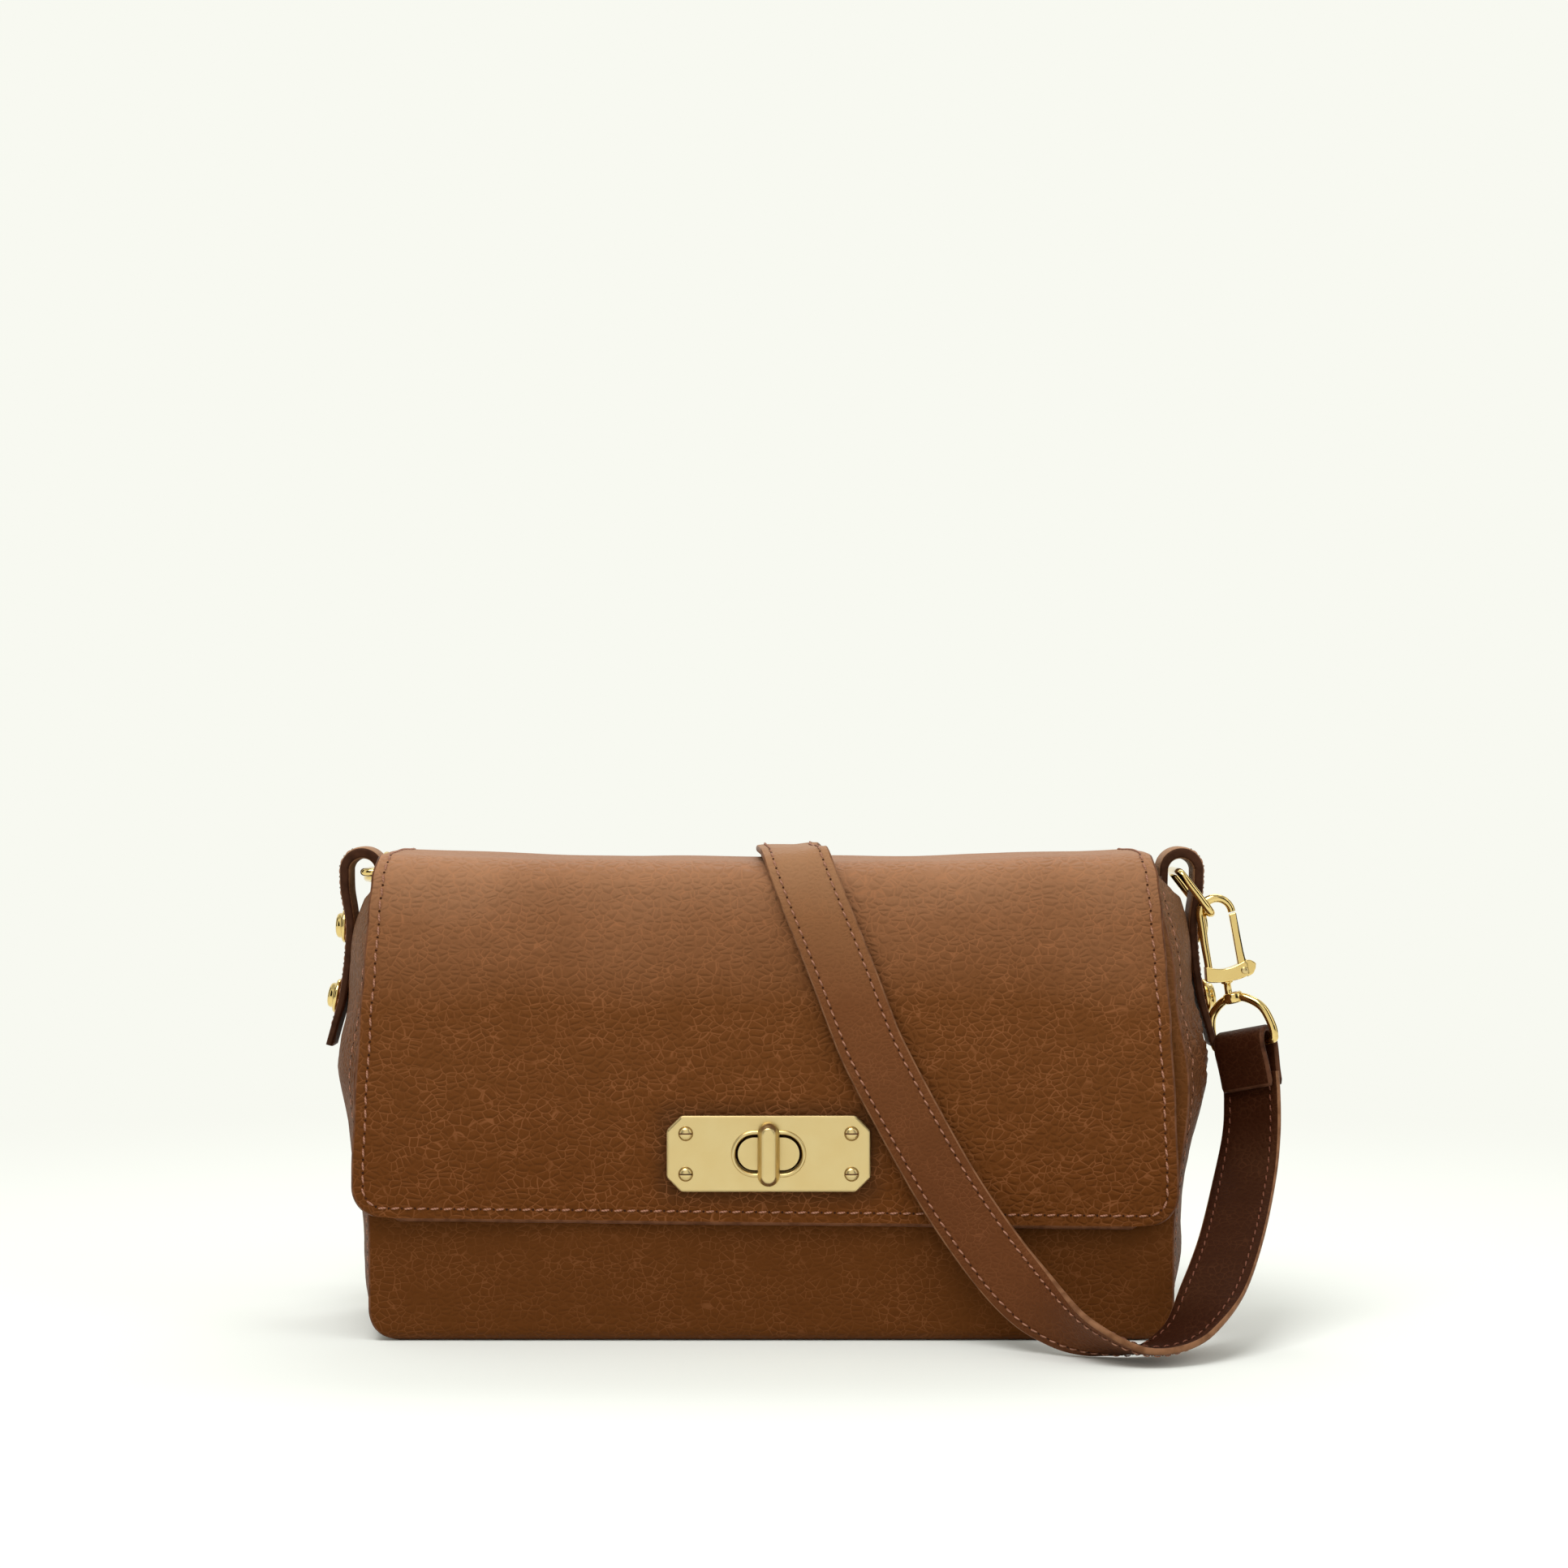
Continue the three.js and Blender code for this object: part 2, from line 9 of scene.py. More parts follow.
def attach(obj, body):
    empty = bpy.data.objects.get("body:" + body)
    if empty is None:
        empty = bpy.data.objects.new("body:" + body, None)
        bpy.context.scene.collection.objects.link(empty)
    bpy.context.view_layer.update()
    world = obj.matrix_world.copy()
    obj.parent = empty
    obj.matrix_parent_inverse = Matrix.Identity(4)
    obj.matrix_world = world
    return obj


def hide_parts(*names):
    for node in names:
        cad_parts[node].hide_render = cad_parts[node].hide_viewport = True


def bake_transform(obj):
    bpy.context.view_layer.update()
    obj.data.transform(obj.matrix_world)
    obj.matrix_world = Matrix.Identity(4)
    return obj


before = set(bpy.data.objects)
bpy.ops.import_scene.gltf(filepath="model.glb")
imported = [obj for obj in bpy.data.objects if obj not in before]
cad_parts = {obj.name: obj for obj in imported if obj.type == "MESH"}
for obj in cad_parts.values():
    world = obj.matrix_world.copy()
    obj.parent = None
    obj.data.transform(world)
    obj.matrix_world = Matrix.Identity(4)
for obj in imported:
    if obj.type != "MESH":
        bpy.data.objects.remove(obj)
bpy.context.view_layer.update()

MM = 0.001

# ---- driving sizes, in millimetres ----------------------------------------------------------------
CAMERA_AT = (3.9, -1040.0, 171.75)
LENS = 74.68
CORNER, BASE_ROLL = 10.0, 4.0
FRONT, FRONT_TOP, FRONT_HIGH = -38.0, -33.5, 145.0
BACK, BACK_TOP, BACK_HIGH = 37.0, 31.0, 139.0
FLAP_SHIFT, FLAP_FRONT, FLAP_BACK = -1.9, -42.0, 36.0
FLAP_TOP, FLAP_LOW = 150.6, 37.3
FLAP_FRONT_R, FLAP_REAR_R, FLAP_CORNER = 10.0, 7.0, 9.5
FLAP_THICK = 2.6
PLATE_X, PLATE_Z = -0.8, 58.5
PLATE_WIDTH, PLATE_HEIGHT, PLATE_CHAMFER = 62.6, 23.5, 4.5
PLATE_BACK, PLATE_FACE = -42.1, -44.3
SCREW_X, SCREW_Z, SCREW_RADIUS = 25.4, 6.2, 1.95
SLOT_WIDTH, SLOT_HEIGHT = 20.8, 12.2
BOSS_LONG, BOSS_HIGH = 18.9, 10.0
KNOB_LONG, KNOB_WIDE = 18.4, 5.8
STRAP_WIDTH, STRAP_THICK = 20.0, 2.6
TAB_HALF = 7.5
PIVOT_X, PIVOT_Z = 129.0, 143.9
RING_WIRE, LOOP_WIRE = 1.25, 1.35
RING_DROP = {"right": math.radians(52.5), "left": 0.0}
STUDS = {"upper": (135.9, 126.5, 0.03), "lower": (138.4, 104.0, 0.17)}
STUD_RADIUS = 5.4
HOOK_AT, HOOK_LEAN = (143.7, -9.8, 112.0), math.radians(-9)
HUNG_AT, HUNG_LEAN = (144.7, -9.8, 110.0), math.radians(-14.5)
HUNG_TURN = math.radians(-36)
LEFT_HOOK_AT, LEFT_HOOK_DIP = (-125.0, 35.6, 141.8), math.radians(5)
LOOP_BAR = -21.5
SIDES = ((-1, "left"), (1, "right"))


# ---- materials ------------------------------------------------------------------------------------
class Nodes:
    """A small helper that adds and links shader nodes in one material."""

    def __init__(self, name):
        self.material = bpy.data.materials.new(name)
        self.material.use_nodes = True
        self.tree = self.material.node_tree
        self.shader = self.tree.nodes["Principled BSDF"]

    def add(self, kind, inputs=None, **settings):
        node = self.tree.nodes.new(kind)
        for key, value in settings.items():
            setattr(node, key, value)
        for key, value in (inputs or {}).items():
            self.put(node.inputs[key], value)
        return node

    def put(self, socket, value):
        if isinstance(value, bpy.types.NodeSocket):
            self.tree.links.new(value, socket)
        else:
            socket.default_value = value

    def into(self, name, value):
        """Set or link one of the shader's own sockets."""
        self.put(self.shader.inputs[name], value)

    def math(self, operation, a, b=0.0, c=0.0):
        return self.add("ShaderNodeMath", {0: a, 1: b, 2: c}, operation=operation).outputs[0]

    def vector(self, operation, values):
        return self.add("ShaderNodeVectorMath", values, operation=operation).outputs[0]

    def mix(self, factor, a, b, blend="MIX"):
        node = self.add("ShaderNodeMix", data_type="RGBA", blend_type=blend)
        self.put(node.inputs[0], factor)
        self.put(node.inputs[6], a)
        self.put(node.inputs[7], b)
        return node.outputs[2]

    def ramp(self, value, low, high):
        node = self.add("ShaderNodeMapRange", {0: value, 1: low, 2: high}, clamp=True)
        node.interpolation_type = "SMOOTHSTEP"
        return node.outputs[0]

    def place(self):
        return self.add("ShaderNodeTexCoord").outputs["Object"]

    def rest_place(self):
        """The place where each point lies at rest, so that a hide's grain and tone move with it."""
        return self.add("ShaderNodeAttribute", attribute_name="rest_place").outputs["Vector"]

    def noise(self, place, scale, detail=3.0, rough=0.5):
        inputs = {"Vector": place, "Scale": scale, "Detail": detail, "Roughness": rough}
        return self.add("ShaderNodeTexNoise", inputs)

    def bump(self, height, strength, distance, under=None):
        node = self.add("ShaderNodeBump", {"Height": height, "Strength": strength, "Distance": distance})
        if under is not None:
            self.put(node.inputs["Normal"], under)
        return node.outputs[0]


def srgb(red, green, blue):
    """A display colour from 0 to 255, as the linear colour that a shader takes."""
    def linear(value):
        value /= 255
        return value / 12.92 if value <= 0.04045 else ((value + 0.055) / 1.055) ** 2.4
    return (linear(red), linear(green), linear(blue), 1.0)


def leather(name, low, middle, high, top, cell=2.4, grain=1.0, rough=0.58, shaded=False):
    """Pebbled hide: rounded cells with fine lighter folds between them. Painted light: its colour is lighter
    towards the top, rising from low at the base to top along the upper edge, as if lit from above."""
    n = Nodes(name)
    place = n.rest_place()
    warp = n.noise(place, 150.0, 0.0).outputs["Color"]
    pushed = n.vector("SUBTRACT", {0: warp, 1: (0.5, 0.5, 0.5)})
    bent = n.vector("ADD", {0: place, 1: n.vector("SCALE", {0: pushed, "Scale": 0.0026})})
    stretched = n.add("ShaderNodeMapping", {"Vector": bent, "Scale": (0.80, 0.95, 1.15)}).outputs[0]
    cells = n.add(
        "ShaderNodeTexVoronoi", {"Vector": stretched, "Scale": 1000.0 / cell}, feature="DISTANCE_TO_EDGE"
    ).outputs["Distance"]
    dome = n.ramp(cells, 0.0, 0.42)
    crease = n.math("SUBTRACT", 1.0, n.ramp(cells, 0.0, 0.075))
    broken = n.ramp(n.noise(place, 120.0, 2.0).outputs[0], 0.24, 0.66)
    crease = n.math("MULTIPLY", crease, broken)
    slow = n.noise(place, 16.0, 3.0).outputs[0]
    height = n.add("ShaderNodeSeparateXYZ", {0: place}).outputs["Z"]
    drift = n.math("MULTIPLY_ADD", slow, 0.024, -0.012)
    # painted light: the colour ramps up with height, from low at the base to top at the upper edge
    tone = n.add("ShaderNodeValToRGB", {0: n.math("DIVIDE", n.math("ADD", height, drift), 0.155)})
    stops = tone.color_ramp.elements
    stops[0].position, stops[0].color = 0.30, low
    stops[1].position, stops[1].color = 0.99, top
    for position, color in ((0.66, middle), (0.84, high)):
        stops.new(position).color = color
    plain = tone.outputs[0]
    if shaded:
        # painted shade round the lock plate: the hide is mixed halfway to dark brown there
        plain = n.mix(n.math("MULTIPLY", lock_shade(n, place), 0.5), plain, srgb(40, 26, 16))
    folded = n.mix(n.math("MULTIPLY", crease, 0.19 * grain), plain, srgb(190, 124, 84))
    n.into("Base Color", folded)
    n.into("Roughness", n.math("MULTIPLY_ADD", slow, 0.16, rough - 0.08))
    n.into("Specular IOR Level", 0.20)
    n.into("Specular Tint", (1.0, 0.52, 0.22, 1.0))
    fine = n.noise(place, 1500.0, 2.0).outputs[0]
    wrinkle = n.noise(place, 130.0, 4.0, 0.6).outputs[0]
    under = n.bump(wrinkle, 0.35 * grain, 0.0014)
    pebbled = n.bump(dome, 0.62 * grain, 0.0005, under)
    n.into("Normal", n.bump(fine, 0.20, 0.0002, pebbled))
    return n.material


def lock_shade(n, place):
    """1 beside the lock plate and 0 a few millimetres off it: the mask of the painted shade round the plate.
    """
    axes = n.add("ShaderNodeSeparateXYZ", {0: place})
    gaps = []
    for axis, middle, reach in (("X", PLATE_X, PLATE_WIDTH / 2), ("Z", PLATE_Z, PLATE_HEIGHT / 2)):
        off = n.math("ABSOLUTE", n.math("SUBTRACT", axes.outputs[axis], middle * MM))
        gaps.append(n.math("MAXIMUM", n.math("SUBTRACT", off, (reach - 2) * MM), 0.0))
    away = n.math("SQRT", n.math("ADD", n.math("POWER", gaps[0], 2.0), n.math("POWER", gaps[1], 2.0)))
    near = n.math("SUBTRACT", 1.0, n.ramp(away, 0.001, 0.009))
    return n.math("MULTIPLY", near, n.math("LESS_THAN", axes.outputs["Y"], -0.03))


def edge_paint(name, base, deep):
    """The burnished paint of a cut edge, streaked from base to deep."""
    n = Nodes(name)
    streak = n.noise(n.place(), 260.0, 3.0).outputs[0]
    n.into("Base Color", n.mix(n.ramp(streak, 0.35, 0.7), base, deep))
    n.into("Roughness", 0.5)
    n.into("Specular IOR Level", 0.15)
    n.into("Specular Tint", (1.0, 0.6, 0.4, 1.0))
    n.into("Normal", n.bump(streak, 0.3, 0.0003))
    return n.material


def thread(name, base, deep):
    """Twisted sewing thread."""
    n = Nodes(name)
    waves = {"Vector": n.place(), "Scale": 700.0, "Distortion": 1.5}
    twist = n.add("ShaderNodeTexWave", waves, bands_direction="DIAGONAL").outputs[0]
    n.into("Base Color", n.mix(twist, base, deep))
    n.into("Roughness", 0.62)
    n.into("Normal", n.bump(twist, 0.5, 0.0002))
    return n.material


def gold(name, base, rough, brushed=0.0):
    """Gold plate: polished, or brushed along X, with faint handling marks."""
    n = Nodes(name)
    place = n.place()
    n.into("Metallic", 1.0)
    marks = n.noise(place, 90.0, 4.0).outputs[0]
    n.into("Base Color", n.mix(n.math("MULTIPLY", marks, 0.35), base, srgb(196, 150, 66)))
    n.into("Roughness", n.math("MULTIPLY_ADD", marks, 0.10, rough - 0.04))
    lines = n.add("ShaderNodeMapping", {"Vector": place, "Scale": (18.0, 900.0, 900.0)}).outputs[0]
    grain = n.noise(lines, 3.0, 3.0).outputs[0]
    n.into("Normal", n.bump(grain if brushed else marks, brushed or 0.03, 0.0001))
    return n.material


def cloth(name, base, deep):
    """A plain weave of two crossed waves."""
    n = Nodes(name)
    place = n.place()
    waves = [
        n.add("ShaderNodeTexWave", {"Vector": place, "Scale": 480.0}, bands_direction=way).outputs[0]
        for way in ("X", "Z")
    ]
    weave = n.math("MULTIPLY", waves[0], waves[1])
    n.into("Base Color", n.mix(weave, deep, base))
    n.into("Roughness", 0.85)
    n.into("Normal", n.bump(weave, 0.4, 0.0002))
    return n.material


TAN = leather(
    "tan_pebbled", srgb(84, 44, 14), srgb(92, 52, 23), srgb(120, 79, 52), srgb(152, 111, 83), shaded=True
)
SMOOTH_TAN = leather(
    "tan_fine", srgb(80, 42, 13), srgb(92, 54, 26), srgb(108, 70, 44), srgb(130, 92, 64),
    cell=2.2, grain=0.6,
)
STRAP_TAN = leather(
    "strap_tan", srgb(84, 46, 24), srgb(98, 58, 33), srgb(122, 82, 54), srgb(150, 112, 83),
    cell=1.7, grain=0.45,
)
GUSSET_TAN = leather("gusset_tan", srgb(80, 44, 20), srgb(90, 56, 34), srgb(98, 66, 44), srgb(112, 80, 58))
DARK = leather(
    "dark_lining", srgb(40, 14, 6), srgb(42, 15, 6), srgb(44, 16, 7), srgb(46, 18, 8), cell=1.9, grain=0.22
)
EDGE = edge_paint("edge_paint", srgb(104, 66, 44), srgb(78, 46, 28))
DARK_EDGE = edge_paint("dark_edge", srgb(82, 50, 34), srgb(44, 22, 14))
THREAD = thread("thread", srgb(166, 114, 88), srgb(124, 78, 56))
BROWN_THREAD = thread("brown_thread", srgb(120, 62, 34), srgb(84, 40, 20))
# painted shade: the dark colour of the stitch holes
HOLE = edge_paint("stitch_hole", srgb(54, 26, 12), srgb(38, 17, 8))
STRAP_EDGE = edge_paint("strap_edge", srgb(126, 88, 62), srgb(98, 64, 42))
TAB_EDGE = edge_paint("tab_edge", srgb(62, 36, 24), srgb(46, 25, 16))
SATIN = gold("satin_gold", srgb(218, 198, 146), 0.30, brushed=0.10)
POLISHED = gold("polished_gold", srgb(232, 206, 138), 0.10)
# painted shade: a darker gold for the ring round each screw head
SEAT_SHADE_GOLD = gold("seat_shade_gold", srgb(150, 124, 78), 0.35)
LINING = cloth("pouch_cloth", srgb(112, 88, 66), srgb(70, 52, 38))
CARD = edge_paint("dark_card", (0.004, 0.003, 0.002, 1), (0.002, 0.002, 0.002, 1))
BOARD = cloth("board", srgb(150, 140, 122), srgb(120, 110, 94))


# ---- meshes ---------------------------------------------------------------------------------------
def piece(name, points, faces, materials, indices=None, body="bag", smooth=True):
    """One mesh from millimetre points, riding on a body."""
    mesh = bpy.data.meshes.new(name)
    mesh.from_pydata([Vector(p) * MM for p in points], [], faces)
    for material in materials:
        mesh.materials.append(material)
    if indices:
        mesh.polygons.foreach_set("material_index", indices)
    tidy = bmesh.new()
    tidy.from_mesh(mesh)
    bmesh.ops.recalc_face_normals(tidy, faces=tidy.faces)
    tidy.to_mesh(mesh)
    tidy.free()
    mesh.polygons.foreach_set("use_smooth", [smooth] * len(mesh.polygons))
    mesh.update()
    rest = mesh.attributes.new("rest_place", "FLOAT_VECTOR", "POINT")
    rest.data.foreach_set("vector", [part for vertex in mesh.vertices for part in vertex.co])
    made = bpy.data.objects.new(name, mesh)
    bpy.context.scene.collection.objects.link(made)
    if body:
        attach(made, body)
    return made


def stands_for(made, slot, *nodes):
    """The piece's material slot, which is not used, and the CAD nodes whose place it takes, if any."""
    if nodes:
        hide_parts(*nodes)


def grid_normals(grid):
    """Unit normals of a grid of points, by differences along and across it."""
    rows, columns = len(grid), len(grid[0])
    normals = []
    for i in range(rows):
        line = []
        for j in range(columns):
            along = grid[min(i + 1, rows - 1)][j] - grid[max(i - 1, 0)][j]
            across = grid[i][min(j + 1, columns - 1)] - grid[i][max(j - 1, 0)]
            line.append(along.cross(across).normalized())
        normals.append(line)
    return normals


def hide(name, grid, thick, materials, body="bag", keep=None, flip=False):
    """A leather sheet with its face on the grid, a lining behind it and a rounded painted edge.
    materials are those of the face, the back and the edge. keep says which cells of the grid stay."""
    rows, columns = len(grid), len(grid[0])
    normals = grid_normals(grid)
    sign = -1 if flip else 1
    points = []
    for side in (0, 1):
        for i in range(rows):
            for j in range(columns):
                points.append(grid[i][j] - normals[i][j] * (sign * thick * side))
    at = lambda side, i, j: side * rows * columns + i * columns + j
    faces, indices = [], []
    for i in range(rows - 1):
        for j in range(columns - 1):
            middle = (grid[i][j] + grid[i + 1][j + 1]) / 2
            if keep and not keep(middle):
                continue
            for side in (0, 1):
                corners = [at(side, i, j), at(side, i + 1, j), at(side, i + 1, j + 1), at(side, i, j + 1)]
                faces.append(corners if side == 0 else corners[::-1])
                indices.append(side)
    border = [(i, 0) for i in range(rows)] + [(rows - 1, j) for j in range(1, columns)]
    border += [(i, columns - 1) for i in range(rows - 2, -1, -1)]
    border += [(0, j) for j in range(columns - 2, 0, -1)]
    ring = []
    for k, (i, j) in enumerate(border):
        before, after = border[k - 1], border[(k + 1) % len(border)]
        run = grid[after[0]][after[1]] - grid[before[0]][before[1]]
        out = run.cross(normals[i][j]).normalized()
        inward = grid[min(max(i, 1), rows - 2)][min(max(j, 1), columns - 2)] - grid[i][j]
        if out.dot(inward) > 0:
            out = -out
        ring.append((i, j, out))
    bands = []
    for step in (1, 2, 3):
        turn = math.pi * step / 4
        start = len(points)
        for i, j, out in ring:
            deep = thick * (1 - math.cos(turn)) / 2
            reach = math.sin(turn) * thick * 0.45
            points.append(grid[i][j] - normals[i][j] * (sign * deep) + out * reach)
        bands.append([start + k for k in range(len(ring))])
    first = [at(0, i, j) for i, j, _ in ring]
    last = [at(1, i, j) for i, j, _ in ring]
    rails = [first, *bands, last]
    for low, high in zip(rails, rails[1:]):
        for k in range(len(ring)):
            m = (k + 1) % len(ring)
            faces.append([low[k], low[m], high[m], high[k]])
            indices.append(2)
    return piece(name, points, faces, materials, indices, body)


def catmull(points, steps, closed=False):
    """A smooth line through points, with steps places between each pair."""
    count = len(points)
    spans = count if closed else count - 1
    pick = (lambda n: points[n % count]) if closed else (lambda n: points[min(max(n, 0), count - 1)])
    line = []
    for span in range(spans):
        a, b, c, d = (Vector(pick(span + k)) for k in (-1, 0, 1, 2))
        for step in range(steps):
            t = step / steps
            square, cube = 2 * a - 5 * b + 4 * c - d, 3 * b - a - 3 * c + d
            line.append(0.5 * (2 * b + (c - a) * t + square * t**2 + cube * t**3))
    if not closed:
        line.append(Vector(points[-1]))
    return line


def direction(line, n):
    """The way that an open line runs at its point n."""
    return (line[min(n + 1, len(line) - 1)] - line[max(n - 1, 0)]).normalized()


def walls(rings, sides, closed=False):
    """Quads between rings of points that follow each other; closed joins the last ring to the first."""
    faces = []
    for n in range(rings if closed else rings - 1):
        after = (n + 1) % rings
        for k in range(sides):
            m = (k + 1) % sides
            faces.append([n * sides + k, n * sides + m, after * sides + m, after * sides + k])
    return faces


def caps(rings, sides):
    """The two faces that shut the first and the last ring."""
    return [list(range(sides))[::-1], [(rings - 1) * sides + k for k in range(sides)]]


def tube(line, radius, sides=20, closed=False):
    """Points and faces of a round wire along a line; radius is a number or a function of the share along."""
    count = len(line)
    size = radius if callable(radius) else (lambda share: radius)
    side = (line[1] - line[0]).orthogonal().normalized()
    points = []
    frames = []
    for n in range(count):
        ahead = line[(n + 1) % count] if closed or n < count - 1 else line[n]
        behind = line[n - 1] if closed or n > 0 else line[n]
        run = (ahead - behind).normalized()
        side = (side - run * side.dot(run)).normalized()
        frames.append((side, run.cross(side)))
    drift = 0.0
    if closed:
        run = (line[1] - line[-1]).normalized()
        carried = (side - run * side.dot(run)).normalized()
        drift = math.atan2(carried.dot(frames[0][1]), carried.dot(frames[0][0]))
    for n in range(count):
        a, b = frames[n]
        for k in range(sides):
            turn = 2 * math.pi * k / sides - drift * n / count
            points.append(line[n] + (a * math.cos(turn) + b * math.sin(turn)) * size(n / (count - 1)))
    return points, walls(count, sides, closed) + ([] if closed else caps(count, sides))


def lathe(profile, sides=48):
    """Points and faces of a turned shape about Z, from (radius, height) pairs along its profile."""
    points = []
    for radius, height in profile:
        for k in range(sides):
            turn = 2 * math.pi * k / sides
            points.append(Vector((radius * math.cos(turn), radius * math.sin(turn), height)))
    return points, walls(len(profile), sides)


def prism(outline, low, high, holes=()):
    """Points and faces of a flat outline in X and Z, with its holes, between two values of Y."""
    work = bmesh.new()
    loops = [outline, *holes]
    edges = []
    for loop in loops:
        corners = [work.verts.new((x, low, z)) for x, z in loop]
        edges += [work.edges.new((corners[k - 1], corners[k])) for k in range(len(corners))]
    filled = bmesh.ops.triangle_fill(work, use_beauty=True, edges=edges)["geom"]
    flat = [f for f in filled if isinstance(f, bmesh.types.BMFace)]
    raised = bmesh.ops.extrude_face_region(work, geom=flat)["geom"]
    for vertex in raised:
        if isinstance(vertex, bmesh.types.BMVert):
            vertex.co.y = high
    bmesh.ops.recalc_face_normals(work, faces=work.faces)
    work.verts.ensure_lookup_table()
    points = [v.co.copy() for v in work.verts]
    faces = [[v.index for v in f.verts] for f in work.faces]
    work.free()
    return points, faces


def stadium(width, height, x=0.0, z=0.0, steps=14):
    """A long outline with two round ends, as (x, z) pairs."""
    r = height / 2
    run = width / 2 - r
    places = []
    for end in (1, -1):
        for k in range(steps + 1):
            turn = -math.pi / 2 + math.pi * k / steps
            places.append((x + end * (run + r * math.cos(turn)), z + end * r * math.sin(turn)))
    return places


def joined(*parts):
    """Several (points, faces) as one."""
    points, faces = [], []
    for more, polygons in parts:
        start = len(points)
        points += more
        faces += [[start + k for k in polygon] for polygon in polygons]
    return points, faces


def placed(place, angle, axis):
    """The matrix that turns about an axis and then moves to a place."""
    return Matrix.Translation(place) @ Matrix.Rotation(angle, 4, axis)


def moved(part, matrix):
    points, faces = part
    return [matrix @ Vector(p) for p in points], faces


def soften(made, width, segments=3, angle=30):
    """Round the sharp edges of a hard piece and shade it by angle."""
    bevel = made.modifiers.new("edges", "BEVEL")
    bevel.width = width * MM
    bevel.segments = segments
    bevel.limit_method = "ANGLE"
    bevel.angle_limit = math.radians(angle)
    bevel.harden_normals = False
    normals = made.modifiers.new("normals", "WEIGHTED_NORMAL")
    normals.keep_sharp = True
    return made


# ---- the body's shape -----------------------------------------------------------------------------
BODY_WIDTHS = ((0, 123.4), (32, 123.7), (78, 128.6), (110, 124.5), (145, 118.6))
BULGES = ((0, 1.5), (25, 5.4), (60, 6.4), (90, 9.8), (112, 9.2), (128, 10.3), (137, 9.6))


def blend_between(value, *pairs):
    """A smooth value from (place, value) pairs in rising order of place."""
    if value <= pairs[0][0]:
        return pairs[0][1]
    for (low, a), (high, b) in zip(pairs, pairs[1:]):
        if value <= high:
            t = (value - low) / (high - low)
            return a + (b - a) * t * t * (3 - 2 * t)
    return pairs[-1][1]


def corner_in(z, radius=CORNER):
    """How far the lower corners round inwards, at a height."""
    return radius - math.sqrt(max(radius**2 - (radius - min(z, radius)) ** 2, 0.0))


def front_y(z):
    return FRONT + (FRONT_TOP - FRONT) * max(z, 0) / FRONT_HIGH + corner_in(z, BASE_ROLL)


def back_y(z):
    return BACK + (BACK_TOP - BACK) * max(z, 0) / BACK_HIGH - corner_in(z, BASE_ROLL)


def body_half(z):
    """Half the body's width at its seams: pinched in at the top, fullest below the middle."""
    return blend_between(z, *BODY_WIDTHS) - corner_in(z)


def bulge(z):
    """How far a gusset swells beyond its seams, half way along its depth."""
    return blend_between(z, *BULGES)


def body_line(steps):
    """Places down the front, under the base and up the back, as (y, z)."""
    heights = [CORNER + (FRONT_HIGH - CORNER) * (1 - k / steps) for k in range(steps)]
    heights += [CORNER - (CORNER - BASE_ROLL) * k / 6 for k in range(6)]
    heights += [BASE_ROLL * (1 - math.sin(math.pi / 2 * k / 6)) for k in range(7)]
    line = [(front_y(z), z) for z in heights]
    line += [(front_y(0) + (back_y(0) - front_y(0)) * k / 16, 0.0) for k in range(1, 16)]
    rises = [z for z in heights[::-1] if z < CORNER]
    rises += [CORNER + (BACK_HIGH - CORNER) * k / steps for k in range(steps + 1)]
    return line + [(back_y(z), z) for z in rises]


def rumple(place, scale, height):
    return noise.noise(Vector(place) * scale) * height


def body_grid():
    across = 96
    grid = []
    for y, z in body_line(34):
        half = body_half(z)
        row = []
        for j in range(across + 1):
            share = 2 * j / across - 1
            x = share * half
            rise = max(0.0, min(1.0, z / 30)) * (1 - share**4)
            puff = rise * (1.6 + rumple((x, y, z), 0.021, 1.1) + rumple((x, y, z), 0.07, 0.45))
            side = -1 if y < 0 else 1
            row.append(Vector((x, y + side * puff, z)))
        grid.append(row)
    return grid


def body_wrap():
    made = hide("body_leather", body_grid(), 1.8, [SMOOTH_TAN, LINING, EDGE])
    stands_for(made, "tan_leather", "body_wrap")


def gusset_grid(side):
    """One side panel: from the seam at the front, out over its swell, to the seam at the back."""
    rows, columns = 56, 30
    grid = []
    for i in range(rows + 1):
        row = []
        for j in range(columns + 1):
            b = j / columns
            top = 131.5 + 3.5 * math.sin(math.pi * min(b / 0.75, 1)) + 13.0 * max(0.0, 1 - b / 0.45) ** 2
            z = 0.25 + (top - 0.25) * (i / rows)
            y = (front_y(z) + 0.6) * (1 - b) + (back_y(z) - 0.6) * b
            arch = 1 - abs(2 * b - 1) ** 2.3
            swell = bulge(z) * arch
            fold = 0.0
            if side > 0 and 70 < z < 112 and b < 0.5:
                fade = math.sin(math.pi * (z - 70) / 42) * math.sin(math.pi * min(b * 2, 1))
                fold = 0.9 * fade * math.sin((z + 1.1 * y) * 0.62)
            creased = rumple((y, z, 40 * side), 0.05, 1.3) * arch + rumple((y, z, 9 * side), 0.16, 0.5) * arch
            x = body_half(z) + swell + fold + creased
            row.append(Vector((side * x, y, z)))
        grid.append(row)
    return grid


def gussets():
    for side, word in SIDES:
        layers = [GUSSET_TAN, LINING, EDGE]
        made = hide(f"gusset_{word}_leather", gusset_grid(side), 1.6, layers, flip=side > 0)
        stands_for(made, "tan_leather", f"gusset_{word}")


